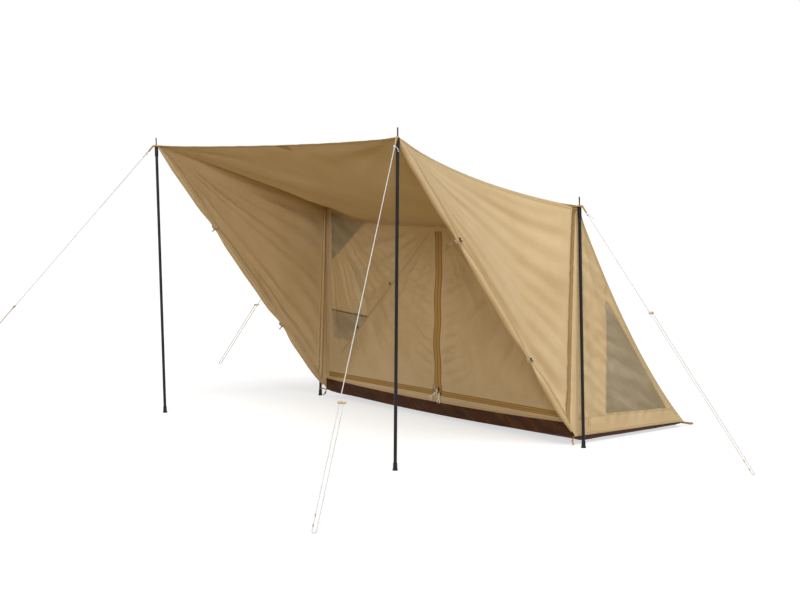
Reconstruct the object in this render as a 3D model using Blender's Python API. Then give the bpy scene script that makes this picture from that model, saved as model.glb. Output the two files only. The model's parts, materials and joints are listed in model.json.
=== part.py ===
"""Pup tent with a propped canopy, rolled wings, a zipped front wall and four guylines.

The frame has its origin on the ground under the middle of the groundsheet. +X runs along
the ridge, to the right of someone who faces the front wall, +Y runs to the rear and +Z up.
All sizes are in metres.
"""
import math

import bmesh
import bpy
from mathutils import Matrix, Vector

# Tent body
RIDGE_HEIGHT = 1.20
RIDGE_LENGTH = 2.24
RIDGE_SAG = 0.113
RIDGE_SAG_POWER = 5
FLOOR_DEPTH = 0.89
REAR_WIDTH = 2.04
REAR_BOW = 0.04
REAR_RIM = 0.030
ROOF_SAG = 0.10
ROOF_BELLY = 0.010
CORNER_RIM = 0.0478
MIDDLE_RIM = 0.024
FLOOR_CURVE = 0.30
FLOOR_INSET = 0.002
FLOOR_REAR_DROP = 0.0024
CLOTH = 0.002
NET = 0.001
SEAM_GAP = 0.0004
FOLD_DEPTH = 0.006
RIDGE_FRONT_GAP = 0.0009
RIDGE_REAR_GAP = 0.0034

# Canopy and wings
CANOPY_HEIGHT = 1.52
CANOPY_WIDTH = 2.28
CANOPY_DEPTH = 1.118
CANOPY_SIDE_BOW = 0.11
CANOPY_SIDE_SAG = 0.025
CANOPY_FRONT_BOW = 0.09
CANOPY_FRONT_SAG = 0.012
CANOPY_BELLY = 0.025
ROLL_RADIUS = 0.0225
ROLL_END_RADIUS = 0.011
ROLL_TIE_RADIUS = 0.0165
ROLL_TIE_PLACES = (0.28, 0.684)
ROLL_TIE_SPREAD = 0.05
ROLL_TIE_HALF = 0.010
ROLL_TAPER = 0.10
ROLL_START = 0.02
ROLL_END = 0.965
WING_SEAM_DROP = 0.0034
WING_EASE = 0.001
WING_END_EASE = 0.004
WING_FOLDS = 5

# Poles
POLE_RADIUS = 0.008
POLE_WALL = 0.0013
POLE_FIT = 0.0003
SPIGOT_LENGTH = 0.045
TOP_FERRULE_RADIUS = 0.010
TOP_FERRULE_LENGTH = 0.055
PIN_RADIUS = 0.00325
PIN_LENGTH = 0.050
FOOT_RADIUS = 0.010
FOOT_FLARE = 0.0025
FOOT_HEIGHT = 0.035
FOOT_FLOOR = 0.004
FOOT_PAD_TOP = 0.004
FOOT_SHANK = 0.012
FOOT_BELOW = 0.010
STOP_PLUG = 0.008
POLE_BEVEL = 0.0015
PIN_BEVEL = 0.002
RIDGE_POLE_SECTIONS = ("lower", "middle", "upper")
CANOPY_POLE_SECTIONS = ("bottom", "lower", "upper", "top")
RIDGE_POLE_STANDOFF = 0.020
RIDGE_POLE_FOOT_SPREAD = 0.045
CANOPY_POLE_STANDOFF = (0.015, -0.012)
CANOPY_POLE_FOOT_SHIFT = (-0.040, 0.015)

# Webbing eyes and loops
EYE_THICKNESS = 0.003
EYE_RADIUS = 0.013
EYE_FIT = 0.0006
EYE_SEAT = 0.0008
EYE_TAIL = 0.008
EYE_TURN = 0.0025
EYE_BASE_HALF = 0.0078
POLE_LOOP_DROP = 0.0032
POLE_LOOP_TAIL = 0.020
POLE_LOOP_NECK = 0.008
PEG_LOOP_REACH = 0.105
PEG_LOOP_WIDTH = 0.020
PEG_LOOP_HOLE = 0.006
PEG_LOOP_THICKNESS = 0.0024
PEG_LOOP_ROOT = (0.012, 0.016, 0.0028)
PEG_LOOP_INSET = 0.033
PEG_LOOP_LOW = 0.00225

# Front wall, from the groundsheet's rim up
BAND_HEIGHT = 0.068
SILL_TOP = 0.131
CHAIN_Z = 0.145
CHAIN_GAP = 0.003
ZIP_HALF_LENGTH = 1.0
ZIP_TAPE_WIDTH = 0.030
ZIP_STOP_HALF = 0.0042
DOOR_FOOT_HALF = 0.960
DOOR_FOLD_WAVES = (34, 16)
DOOR_FOLD_MARGIN = 0.12
DOOR_FOLD_START = 0.15
SEAM_APEX = 1.095
SEAM_SLOPE = 0.853
SLIT_TOP = 1.047
NOTCH_WIDTH = 0.045
NOTCH_HEIGHT = 0.045
NET_WINDOW = ((1.058, 1.136), (0.700, 1.083), (1.050, 0.846))
POCKET = ((1.052, 0.546), (0.680, 0.529), (0.869, 0.371), (1.031, 0.376))

# End walls: net window corners as distance behind the front wall and height
END_WINDOW = ((0.231, 0.730), (0.240, 0.140), (0.735, 0.119))
END_FRONT_GAP = 0.0008
END_ROOF_GAP = 0.0030
END_REAR_SHARE = 0.988
END_REAR_STUB = 0.004

# Zip sliders and pulls
SLIDER_LENGTH = 0.018
SLIDER_WIDTH = 0.012
SLIDER_PLATE = 0.0015
SLIDER_CLEARANCE = 0.0005
SLIDER_NECK = 0.002
SLIDER_PARK = 0.0215
SLIDER_TOP = 1.036
SIDE_SLIDER_START = 0.020
EAR_THICKNESS = 0.002
EAR_RADIUS = 0.003
EAR_HOLE = 0.00175
EAR_REACH = 0.003
PULL_THICKNESS = 0.002
PULL_RING_HALF = 0.004
PULL_RING_DROP = 0.009
PULL_RING_WALL = 0.0018
PULL_CHAMFER = 0.001
PULL_TAIL_HALF = 0.0013
PULL_KNOT_HALF = 0.003
PULL_KNOT_LENGTH = 0.007
PULL_DROP = 0.045

# Toggles on the rolled wings
TOGGLE_LENGTH = 0.026
TOGGLE_RADIUS = 0.0035
TOGGLE_POST = 0.0011
TOGGLE_HOLE = 0.0016
TOGGLE_HEAD = 0.0022
TOGGLE_POST_ROOT = 0.006
TOGGLE_KNOT = 0.002
TOGGLE_LIFT = 0.0005

# Guylines: ground ends as chosen, and how far down each line its slider sits
CORD_RADIUS = 0.002
LEG_GAP = 0.018
CORD_GROUND_CLEARANCE = 0.004
CORD_FIT = 0.0003
CORD_ELBOW = 0.0155
GUY_ENDS = {
    "front_left": (-2.000, -2.645),
    "front_right": (1.970, -2.581),
    "rear_left": (-2.984, -0.113),
    "rear_right": (2.187, -0.342),
}
ADJUSTER_PLACES = {"front_left": 0.604, "front_right": 0.7075, "rear_left": 0.60, "rear_right": 0.421}
ADJUSTER_LENGTH = 0.036
ADJUSTER_WIDTH = 0.010
ADJUSTER_THICKNESS = 0.008
ADJUSTER_HOLE = 0.0026

# Mesh fineness
ROUND_SIDES = 16
SMALL_SIDES = 12
CANOPY_CELLS = (22, 14)
ROOF_CELLS = (22, 11)
WING_CELLS = (14, 5)
DOOR_CELLS = (7, 13)
FLOOR_CELLS = (21, 9)
ROLL_RINGS = 26

HALF_RIDGE = RIDGE_LENGTH / 2
HALF_REAR = REAR_WIDTH / 2
HALF_CANOPY = CANOPY_WIDTH / 2
FRONT_Y = -FLOOR_DEPTH / 2
REAR_Y = FLOOR_DEPTH / 2
CLOTH_LIFT = EYE_SEAT + EYE_THICKNESS / 2
CHAIN_LOW = CHAIN_Z - CHAIN_GAP / 2
CHAIN_TOP = CHAIN_Z + CHAIN_GAP / 2
NOTCH_TOP = CHAIN_TOP + NOTCH_HEIGHT
DOOR_TOP = SLIDER_TOP - PULL_DROP - SLIDER_WIDTH / 2
SLIDER_START = CHAIN_TOP + SLIDER_PARK
PIVOT_Y = FRONT_Y - SLIDER_CLEARANCE - SLIDER_PLATE - EAR_REACH
SEAM_ANGLE = math.atan(SEAM_SLOPE)
SIDES = {"left": -1, "right": 1}


def linear(channel):
    """One sRGB channel, 0 to 1, as a linear value."""
    return channel / 12.92 if channel <= 0.04045 else ((channel + 0.055) / 1.055) ** 2.4


def finish(name, colour, roughness, metallic=0.0):
    """A Principled material of one sRGB colour, written as six hex digits."""
    channels = [linear(int(colour[i:i + 2], 16) / 255) for i in (0, 2, 4)]
    material = bpy.data.materials.new(name)
    material.use_nodes = True
    shader = material.node_tree.nodes["Principled BSDF"]
    shader.inputs["Base Color"].default_value = (*channels, 1.0)
    shader.inputs["Roughness"].default_value = roughness
    shader.inputs["Metallic"].default_value = metallic
    material.diffuse_color = (*channels, 1.0)
    return material


def place(name, bm, material, origin=(0, 0, 0), parent=None, smooth=True):
    """Turn a bmesh into the object NAME, with its faces out and its origin where given."""
    bmesh.ops.remove_doubles(bm, verts=bm.verts, dist=1e-7)
    bmesh.ops.recalc_face_normals(bm, faces=bm.faces)
    mesh = bpy.data.meshes.new(name)
    bm.to_mesh(mesh)
    bm.free()
    if smooth:
        mesh.shade_smooth()
        mesh.set_sharp_from_angle(angle=math.radians(35))
    mesh.materials.append(material)
    piece = bpy.data.objects.new(name, mesh)
    bpy.context.scene.collection.objects.link(piece)
    piece.location = origin
    piece.parent = parent
    return piece


def fuse(piece, guide):
    """Weld a hidden guide solid onto a piece."""
    guide.hide_render = True
    guide.display_type = "WIRE"
    weld = piece.modifiers.new("weld_" + guide.name, "BOOLEAN")
    weld.operation = "UNION"
    weld.solver = "EXACT"
    weld.object = guide


def sheet(rows, thickness, origin=(0, 0, 0)):
    """A closed solid of the given thickness about a grid of points, as a bmesh."""
    bm = bmesh.new()
    n_rows, n_cols = len(rows), len(rows[0])
    start = Vector(origin)
    layers = {1: [], -1: []}
    for r in range(n_rows):
        for side in layers:
            layers[side].append([])
        for c in range(n_cols):
            along = rows[r][min(c + 1, n_cols - 1)] - rows[r][max(c - 1, 0)]
            across = rows[min(r + 1, n_rows - 1)][c] - rows[max(r - 1, 0)][c]
            normal = along.cross(across).normalized()
            for side in layers:
                point = rows[r][c] + normal * (side * thickness / 2) - start
                layers[side][r].append(bm.verts.new(point))
    for r in range(n_rows - 1):
        for c in range(n_cols - 1):
            for grid in layers.values():
                bm.faces.new((grid[r][c], grid[r][c + 1], grid[r + 1][c + 1], grid[r + 1][c]))
    rim = [(0, c) for c in range(n_cols)]
    rim += [(r, n_cols - 1) for r in range(1, n_rows)]
    rim += [(n_rows - 1, c) for c in range(n_cols - 2, -1, -1)]
    rim += [(r, 0) for r in range(n_rows - 2, 0, -1)]
    upper, lower = layers[1], layers[-1]
    for (r0, c0), (r1, c1) in zip(rim, rim[1:] + rim[:1]):
        bm.faces.new((upper[r0][c0], upper[r1][c1], lower[r1][c1], lower[r0][c0]))
    return bm


def plate(loops, thickness, frame):
    """A flat plate as a bmesh: an outline and its holes, in a frame's first two axes.

    The plate runs from the frame's origin plane along its third axis by the thickness.
    """
    bm = bmesh.new()
    edges = []
    for loop in loops:
        ring = [bm.verts.new((a, b, 0)) for a, b in loop]
        edges += [bm.edges.new(pair) for pair in zip(ring, ring[1:] + ring[:1])]
    bmesh.ops.triangle_fill(bm, use_beauty=True, edges=edges, normal=(0, 0, 1))
    twin = {v: bm.verts.new(v.co + Vector((0, 0, thickness))) for v in list(bm.verts)}
    for face in list(bm.faces):
        bm.faces.new([twin[v] for v in reversed(face.verts)])
    for edge in edges:
        a, b = edge.verts
        bm.faces.new((a, b, twin[b], twin[a]))
    bm.transform(frame)
    return bm


def frame_of(origin, first, second, third):
    """The matrix whose axes are three given directions, at an origin."""
    columns = [Vector(first).to_4d(), Vector(second).to_4d(), Vector(third).to_4d(), Vector(origin).to_4d()]
    for column in columns[:3]:
        column.w = 0
    return Matrix([list(row) for row in zip(*columns)])


def wall_frame(depth):
    """Frame of the front wall: x and height, thickness running rearwards from DEPTH."""
    return frame_of((0, FRONT_Y + depth, 0), (1, 0, 0), (0, 0, 1), (0, 1, 0))


def turned(profile, sides=ROUND_SIDES):
    """A solid turned about Z from a profile of (radius, height) that starts and ends at radius 0."""
    bm = bmesh.new()
    points = [bm.verts.new((radius, 0, height)) for radius, height in profile]
    chain = [bm.edges.new(pair) for pair in zip(points, points[1:])]
    bmesh.ops.spin(bm, geom=points + chain, cent=(0, 0, 0), axis=(0, 0, 1),
                   angle=2 * math.pi, steps=sides)
    bmesh.ops.remove_doubles(bm, verts=bm.verts, dist=1e-6)
    return bm


def arc(centre, radius, start, end, steps):
    """Points on an arc in the plane, angles in degrees."""
    angles = [math.radians(start + (end - start) * i / steps) for i in range(steps + 1)]
    return [(centre[0] + radius * math.cos(a), centre[1] + radius * math.sin(a)) for a in angles]


def circle(centre, radius, sides=SMALL_SIDES):
    """A closed ring of points in the plane."""
    return arc(centre, radius, 0, 360 * (sides - 1) / sides, sides - 1)


def mix(a, b, share):
    """The value a share of the way from a to b."""
    return a + (b - a) * share


def hump(share):
    """0 at both ends of 0 to 1, and 1 in the middle."""
    return 4 * share * (1 - share)


def spread(count, low=0.0, high=1.0):
    """Evenly spaced values from low to high, count steps."""
    return [mix(low, high, i / count) for i in range(count + 1)]


def ridge(s):
    """The ridge seam, s from -1 at the left pole to 1 at the right pole."""
    drop = RIDGE_SAG * (1 - abs(s) ** RIDGE_SAG_POWER)
    return Vector((HALF_RIDGE * s, FRONT_Y, RIDGE_HEIGHT + CLOTH_LIFT - drop))


def canopy_front(s):
    """The canopy's free front edge."""
    y = FRONT_Y - CANOPY_DEPTH + CANOPY_FRONT_BOW * (1 - s * s)
    return Vector((HALF_CANOPY * s, y, CANOPY_HEIGHT + CLOTH_LIFT - CANOPY_FRONT_SAG * (1 - s * s)))


def canopy_side(t, side):
    """The seam between canopy and wing, t from 0 at the ridge to 1 at the canopy pole."""
    x = mix(HALF_RIDGE, HALF_CANOPY, t) - CANOPY_SIDE_BOW * hump(t)
    z = mix(RIDGE_HEIGHT, CANOPY_HEIGHT, t) + CLOTH_LIFT - CANOPY_SIDE_SAG * hump(t)
    return Vector((side * x, FRONT_Y - CANOPY_DEPTH * t, z))


def roof_side(t, side):
    """The seam between rear roof and end wall, t from 0 at the ridge to 1 at the rear corner."""
    z = mix(RIDGE_HEIGHT + CLOTH_LIFT, REAR_RIM, t) - ROOF_SAG * hump(t)
    return Vector((side * mix(HALF_RIDGE, HALF_REAR, t), mix(FRONT_Y, REAR_Y, t), z))


def rear_hem(s):
    """The rear roof's bottom edge."""
    return Vector((HALF_REAR * s, REAR_Y - REAR_BOW * (1 - s * s), REAR_RIM))


def patch(s, t, low, high, sides):
    """A point of the surface stretched between two edges and two sides (a Coons patch)."""
    u = (s + 1) / 2
    between_edges = low(s) * (1 - t) + high(s) * t
    between_sides = sides(t, -1) * (1 - u) + sides(t, 1) * u
    corners = (low(-1) * (1 - t) + high(-1) * t) * (1 - u) + (low(1) * (1 - t) + high(1) * t) * u
    return between_edges + between_sides - corners


def corner_folds(s, t, count):
    """Tension folds that fan out from a sheet's corners and fade towards its edges."""
    u = (s + 1) / 2
    total = 0.0
    for cu in (0, 1):
        for ct in (0, 1):
            du, dt = abs(u - cu), abs(t - ct)
            reach = math.hypot(du, dt)
            total += math.cos(count * math.atan2(dt, du)) * math.exp(-((reach - 0.32) / 0.2) ** 2)
    return total * hump(u) * hump(t)


def roll_line(t, side):
    """The wing's free edge, t from 0 at the ground corner to 1 at the canopy pole."""
    low = Vector((side * HALF_RIDGE, FRONT_Y, CORNER_RIM))
    high = Vector((side * HALF_CANOPY, FRONT_Y - CANOPY_DEPTH, CANOPY_HEIGHT))
    return low.lerp(high, t)


def roll_fullness(t):
    """Share of the roll's full radius: 0 at its ends, 1 once past their tapers."""
    return max(min((t - ROLL_START) / ROLL_TAPER, (ROLL_END - t) / ROLL_TAPER, 1), 0)


def roll_envelope(t):
    """Radius of the rolled cloth as if it had no ties, slimmer at its ends."""
    return mix(ROLL_END_RADIUS, ROLL_RADIUS, math.sin(roll_fullness(t) * math.pi / 2))


def roll_radius(t):
    """Radius of the rolled cloth, drawn in at its two ties."""
    radius = roll_envelope(t)
    for tie in ROLL_TIE_PLACES:
        away = max(abs(t - tie) - ROLL_TIE_HALF, 0)
        radius -= (ROLL_RADIUS - ROLL_TIE_RADIUS) * math.exp(-(away / ROLL_TIE_SPREAD) ** 2)
    return radius


def seam_x(z):
    """Distance from the middle of the front wall to the door's diagonal seam, at a height."""
    return (SEAM_APEX - z) / SEAM_SLOPE


def seam_z(x):
    """Height of the door's diagonal seam, at a distance from the middle."""
    return SEAM_APEX - SEAM_SLOPE * x


def front_rim(x):
    """Height of the groundsheet's front rim."""
    return mix(MIDDLE_RIM, CORNER_RIM - CLOTH, (x / HALF_RIDGE) ** 2)


def end_rim(t):
    """Height of an end wall's bottom edge, t from 0 at the front to 1 at the rear."""
    return mix(CORNER_RIM, REAR_RIM, t)


def pole_ends(kind, side):
    """Ground point and shoulder point of a pole's axis."""
    if kind == "ridge":
        top = Vector((side * (HALF_RIDGE + RIDGE_POLE_STANDOFF), FRONT_Y, RIDGE_HEIGHT))
        return top + Vector((side * RIDGE_POLE_FOOT_SPREAD, 0, -RIDGE_HEIGHT)), top
    dx, dy = CANOPY_POLE_STANDOFF
    top = Vector((side * (HALF_CANOPY + dx), FRONT_Y - CANOPY_DEPTH + dy, CANOPY_HEIGHT))
    dx, dy = CANOPY_POLE_FOOT_SHIFT
    return top + Vector((side * dx, dy, -CANOPY_HEIGHT)), top


def build_pole(name, foot_point, top_point, section_names, steel, tip):
    """A pole of plug-in tube sections with a capped foot, standing along its leaning axis."""
    axis = top_point - foot_point
    stand = bpy.data.objects.new(name + "_axis", None)
    bpy.context.scene.collection.objects.link(stand)
    stand.location = foot_point
    stand.rotation_mode = "QUATERNION"
    stand.rotation_quaternion = axis.to_track_quat("Z", "Y")
    length = axis.length / len(section_names)
    bore = POLE_RADIUS - POLE_WALL
    spigot = bore - POLE_FIT
    for i, section in enumerate(section_names):
        start = FOOT_FLOOR + POLE_FIT if i == 0 else 0.0
        profile = [(0, length - STOP_PLUG), (bore, length - STOP_PLUG), (bore, start),
                   (POLE_RADIUS, start)]
        if i < len(section_names) - 1:
            profile += [(POLE_RADIUS, length - POLE_FIT), (spigot, length - POLE_FIT),
                        (spigot, length + SPIGOT_LENGTH - POLE_BEVEL),
                        (spigot - POLE_BEVEL, length + SPIGOT_LENGTH),
                        (0, length + SPIGOT_LENGTH)]
        else:
            ferrule = length - TOP_FERRULE_LENGTH
            pin_end = length + PIN_LENGTH
            profile += [(POLE_RADIUS, ferrule - POLE_BEVEL), (TOP_FERRULE_RADIUS, ferrule),
                        (TOP_FERRULE_RADIUS, length - POLE_BEVEL), (TOP_FERRULE_RADIUS - POLE_BEVEL, length),
                        (PIN_RADIUS, length), (PIN_RADIUS, pin_end - PIN_BEVEL),
                        (PIN_RADIUS - PIN_BEVEL, pin_end), (0, pin_end)]
        place(name + "_" + section, turned(profile), steel, origin=(0, 0, i * length), parent=stand)
    cup = POLE_RADIUS + POLE_FIT
    profile = [(0, -FOOT_BELOW), (FOOT_RADIUS + FOOT_FLARE, -FOOT_BELOW),
               (FOOT_RADIUS + FOOT_FLARE, FOOT_PAD_TOP), (FOOT_RADIUS, FOOT_SHANK),
               (FOOT_RADIUS, FOOT_HEIGHT), (cup, FOOT_HEIGHT), (cup, FOOT_FLOOR), (0, FOOT_FLOOR)]
    foot = turned(profile)
    up = stand.rotation_quaternion.inverted() @ Vector((0, 0, 1))
    bmesh.ops.bisect_plane(foot, geom=foot.verts[:] + foot.edges[:] + foot.faces[:],
                           plane_co=(0, 0, 0), plane_no=up, clear_inner=True)
    rim = [edge for edge in foot.edges if edge.is_boundary]
    bmesh.ops.contextual_create(foot, geom=rim)
    place(name + "_foot", foot, tip, parent=stand)


def eye_plate(name, post, base):
    """A flat webbing eye round a post, drawn from a short base edge in the cloth's corner."""
    centre = Vector((post.x, post.y))
    middle = (Vector(base[0]) + Vector(base[1])) / 2
    back = math.degrees(math.atan2(middle.y - centre.y, middle.x - centre.x))
    ring = arc(centre, EYE_RADIUS, back + 40, back + 320, SMALL_SIDES)
    outline = ring + [tuple(corner) for corner in base]
    hole = circle(centre, PIN_RADIUS + EYE_FIT)
    flat = frame_of((0, 0, post.z + EYE_SEAT), (1, 0, 0), (0, 1, 0), (0, 0, 1))
    return place(name, plate([outline, hole], EYE_THICKNESS, flat), bpy.data.materials["webbing"])


def build_canopy(cloth):
    """The canopy with its four webbing eyes, which hang on the pole pins."""
    columns, depth = CANOPY_CELLS
    rows = []
    for t in spread(depth):
        row = []
        for s in spread(columns, -1, 1):
            point = patch(s, t, ridge, canopy_front, canopy_side)
            belly = CANOPY_BELLY * (1 - s * s) * math.sin(math.pi * min(t * 1.05, 1))
            point.z += FOLD_DEPTH * corner_folds(s, t, 9) - belly
            point.y -= RIDGE_FRONT_GAP * (1 - t)
            row.append(point)
        rows.append(row)
    canopy = place("canopy", sheet(rows, CLOTH), cloth)
    for side_name, side in SIDES.items():
        ridge_top = pole_ends("ridge", side)[1]
        inner = side * (HALF_RIDGE - EYE_TAIL)
        near, far = FRONT_Y - RIDGE_FRONT_GAP, FRONT_Y - EYE_RADIUS
        base = [(inner, near), (inner, far)] if side > 0 else [(inner, far), (inner, near)]
        turn = (side * (HALF_RIDGE + EYE_TURN), near)
        if side > 0:
            fuse(canopy, eye_plate("ridge_eye_" + side_name, ridge_top, [turn] + base))
        else:
            fuse(canopy, eye_plate("ridge_eye_" + side_name, ridge_top, base + [turn]))
        prop_top = pole_ends("canopy", side)[1]
        corner = canopy_front(side)
        inward = Vector((corner.x - prop_top.x, corner.y - prop_top.y)).normalized()
        across = Vector((-inward.y, inward.x)) * EYE_BASE_HALF
        middle = Vector((corner.x, corner.y)) + inward * EYE_TAIL
        fuse(canopy, eye_plate("prop_eye_" + side_name, prop_top, [middle - across, middle + across]))
    return canopy


def build_rear_roof(cloth):
    """The roof from the ridge down to the rear hem."""
    columns, depth = ROOF_CELLS
    rows = []
    for t in spread(depth):
        row = []
        for s in spread(columns, -1, 1):
            point = patch(s, t, ridge, rear_hem, roof_side)
            point.z += FOLD_DEPTH * corner_folds(s, t, 8) - ROOF_BELLY * (1 - s * s) * hump(t)
            point.y += RIDGE_REAR_GAP * (1 - t)
            row.append(point)
        rows.append(row)
    return place("rear_roof", sheet(rows, CLOTH), cloth)


def build_wing(side_name, side, cloth):
    """The wall between canopy seam, ridge pole and rolled edge."""
    columns, rows_down = WING_CELLS
    edge_run = roll_line(1, side) - roll_line(0, side)
    lean = edge_run.length / abs(edge_run.y)
    rows = []
    for v in spread(rows_down):
        row = []
        for share in spread(columns):
            t = mix(0.0, ROLL_END, share)
            seam = canopy_side(t, side)
            seam.z -= WING_SEAM_DROP + (EYE_THICKNESS * 2 if share == 0 else 0)
            free = roll_line(t, side)
            ease = mix(WING_END_EASE, WING_EASE, roll_fullness(t))
            free.z += (roll_envelope(t) + SEAM_GAP + ease) * lean
            point = seam.lerp(free, v)
            point.y -= RIDGE_FRONT_GAP * (1 - share)
            fold = math.sin(math.pi * WING_FOLDS * v) * hump(v) * hump(share)
            point.x += side * FOLD_DEPTH * fold
            row.append(point)
        rows.append(row)
    return place("wing_" + side_name, sheet(rows, CLOTH), cloth)


def build_roll(side_name, side, cloth):
    """The wing's lower cloth, rolled up along its free edge and tied twice."""
    bm = bmesh.new()
    run = (roll_line(1, side) - roll_line(0, side)).normalized()
    across = Vector((side, 0, 0))
    across = (across - run * across.dot(run)).normalized()
    up = run.cross(across)
    rings = []
    stations = set(spread(ROLL_RINGS, ROLL_START, ROLL_END))
    stations |= {tie + sign * ROLL_TIE_HALF for tie in ROLL_TIE_PLACES for sign in (-1, 1)}
    for t in sorted(stations):
        centre, radius = roll_line(t, side), roll_radius(t)
        ring = []
        for k in range(SMALL_SIDES):
            angle = 2 * math.pi * k / SMALL_SIDES
            ring.append(bm.verts.new(centre + (across * math.cos(angle) + up * math.sin(angle)) * radius))
        rings.append(ring)
    for low, high in zip(rings, rings[1:]):
        for k in range(SMALL_SIDES):
            j = (k + 1) % SMALL_SIDES
            bm.faces.new((low[k], low[j], high[j], high[k]))
    bm.faces.new(rings[0])
    bm.faces.new(rings[-1])
    roll = place("wing_roll_" + side_name, bm, cloth)
    for place_name, tie in zip(("lower", "upper"), ROLL_TIE_PLACES):
        post = turned([(0, -TOGGLE_POST_ROOT), (TOGGLE_POST, -TOGGLE_POST_ROOT),
                       (TOGGLE_POST, toggle_far()), (TOGGLE_HEAD, toggle_far()),
                       (TOGGLE_HEAD, toggle_far() + TOGGLE_KNOT), (0, toggle_far() + TOGGLE_KNOT)],
                      SMALL_SIDES)
        post.transform(toggle_frame(tie, side))
        fuse(roll, place("tie_" + place_name + "_" + side_name, post, cloth))
    return roll


def toggle_far():
    """Distance from the roll's surface to the underside of the tie's knot."""
    return 2 * TOGGLE_RADIUS + 2 * TOGGLE_LIFT


def toggle_frame(tie, side):
    """Frame on the roll's outer surface at a tie, its third axis pointing out sideways."""
    run = (roll_line(1, side) - roll_line(0, side)).normalized()
    out = Vector((side, 0, 0))
    out = (out - run * out.dot(run)).normalized()
    origin = roll_line(tie, side) + out * roll_radius(tie)
    return frame_of(origin, run, out.cross(run), out)


def build_toggle(place_name, tie, side_name, side, dark):
    """A short dark bar that turns on the tie's cord."""
    frame = toggle_frame(tie, side)
    half = TOGGLE_LENGTH / 2
    outline = arc((half - TOGGLE_RADIUS, 0), TOGGLE_RADIUS, -90, 90, 6)
    outline += arc((TOGGLE_RADIUS - half, 0), TOGGLE_RADIUS, 90, 270, 6)
    local = Matrix.Translation((0, 0, TOGGLE_LIFT))
    bar = plate([outline, circle((0, 0), TOGGLE_HOLE, 8)], 2 * TOGGLE_RADIUS, local)
    name = "toggle_" + place_name + "_" + side_name
    piece = place(name, bar, dark)
    piece.matrix_world = frame
    return piece


def build_end_wall(side_name, side, cloth, net):
    """The triangular end wall with its hemmed bottom and its net window."""
    run = Vector((side * (HALF_REAR - HALF_RIDGE), FLOOR_DEPTH, 0)).normalized()
    inward = Vector((-side * run.y, side * run.x, 0))
    frame = frame_of((side * HALF_RIDGE, FRONT_Y, 0), run, (0, 0, 1), inward)
    stretch = math.hypot(HALF_RIDGE - HALF_REAR, FLOOR_DEPTH) / FLOOR_DEPTH
    start = CLOTH + END_FRONT_GAP
    drop = CLOTH / 2 + END_ROOF_GAP
    outline = [(start, end_rim(0))]
    for t in spread(ROOF_CELLS[1]):
        if t == 1:
            continue
        depth = max(t * FLOOR_DEPTH, start)
        outline.append((depth * stretch, roof_side(depth / FLOOR_DEPTH, side).z - drop))
    last = END_REAR_SHARE
    outline.append((FLOOR_DEPTH * last * stretch, end_rim(last) + END_REAR_STUB))
    outline.append((FLOOR_DEPTH * last * stretch, end_rim(last)))
    window = [(depth * stretch, z) for depth, z in END_WINDOW]
    place("end_wall_" + side_name, plate([outline, window], CLOTH, frame), cloth, smooth=False)
    inner = shrink(window, SEAM_GAP)
    frame = frame @ Matrix.Translation((0, 0, (CLOTH - NET) / 2))
    place("end_net_" + side_name, plate([inner], NET, frame), net, smooth=False)


def shrink(loop, gap):
    """A convex loop moved inwards by a gap on every side."""
    centre = Vector((sum(p[0] for p in loop) / len(loop), sum(p[1] for p in loop) / len(loop)))
    lines = []
    for a, b in zip(loop, loop[1:] + loop[:1]):
        a, b = Vector(a), Vector(b)
        across = Vector((-(b - a).y, (b - a).x)).normalized()
        if (centre - a).dot(across) < 0:
            across = -across
        lines.append((a + across * gap, b - a))
    corners = []
    for (p, d), (q, e) in zip(lines[-1:] + lines[:-1], lines):
        cross = d.x * e.y - d.y * e.x
        share = ((q - p).x * e.y - (q - p).y * e.x) / cross
        corners.append(tuple(p + d * share))
    return corners


def mirror(points, side):
    """Points of the right half, as they lie on the given side."""
    return [(side * a, b) for a, b in points]


def build_front_panel(side_name, side, cloth, net):
    """The fixed cloth above the diagonal seam, its net window and its pocket."""
    edge = HALF_RIDGE
    outline = [(edge, SILL_TOP + SEAM_GAP)]
    outline += [(HALF_RIDGE * s, ridge(s).z - CLOTH_LIFT) for s in spread(10, 1.0, 0.0) if s > 0.001]
    middle = ridge(0).z - CLOTH_LIFT
    seam_gap = SEAM_GAP / math.cos(SEAM_ANGLE)
    foot = DOOR_FOOT_HALF + SEAM_GAP
    outline += [(SEAM_GAP / 2, middle), (SEAM_GAP / 2, SLIT_TOP), (CHAIN_GAP / 2, SLIT_TOP),
                (CHAIN_GAP / 2, DOOR_TOP + SEAM_GAP),
                (seam_x(DOOR_TOP + SEAM_GAP) + SEAM_GAP, DOOR_TOP + SEAM_GAP),
                (foot, seam_z(foot) + seam_gap), (foot, CHAIN_TOP), (ZIP_HALF_LENGTH + SEAM_GAP, CHAIN_TOP),
                (ZIP_HALF_LENGTH + SEAM_GAP, SILL_TOP + SEAM_GAP)]
    window = list(NET_WINDOW)
    place("front_panel_" + side_name, plate([mirror(outline, side), mirror(window, side)], CLOTH,
                                            wall_frame(0)), cloth, smooth=False)
    pane = plate([mirror(shrink(window, SEAM_GAP), side)], NET, wall_frame((CLOTH - NET) / 2))
    place("front_net_" + side_name, pane, net, smooth=False)
    pocket = plate([mirror(POCKET, side)], NET, wall_frame(-NET - SEAM_GAP))
    place("pocket_net_" + side_name, pocket, net, smooth=False)


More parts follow.
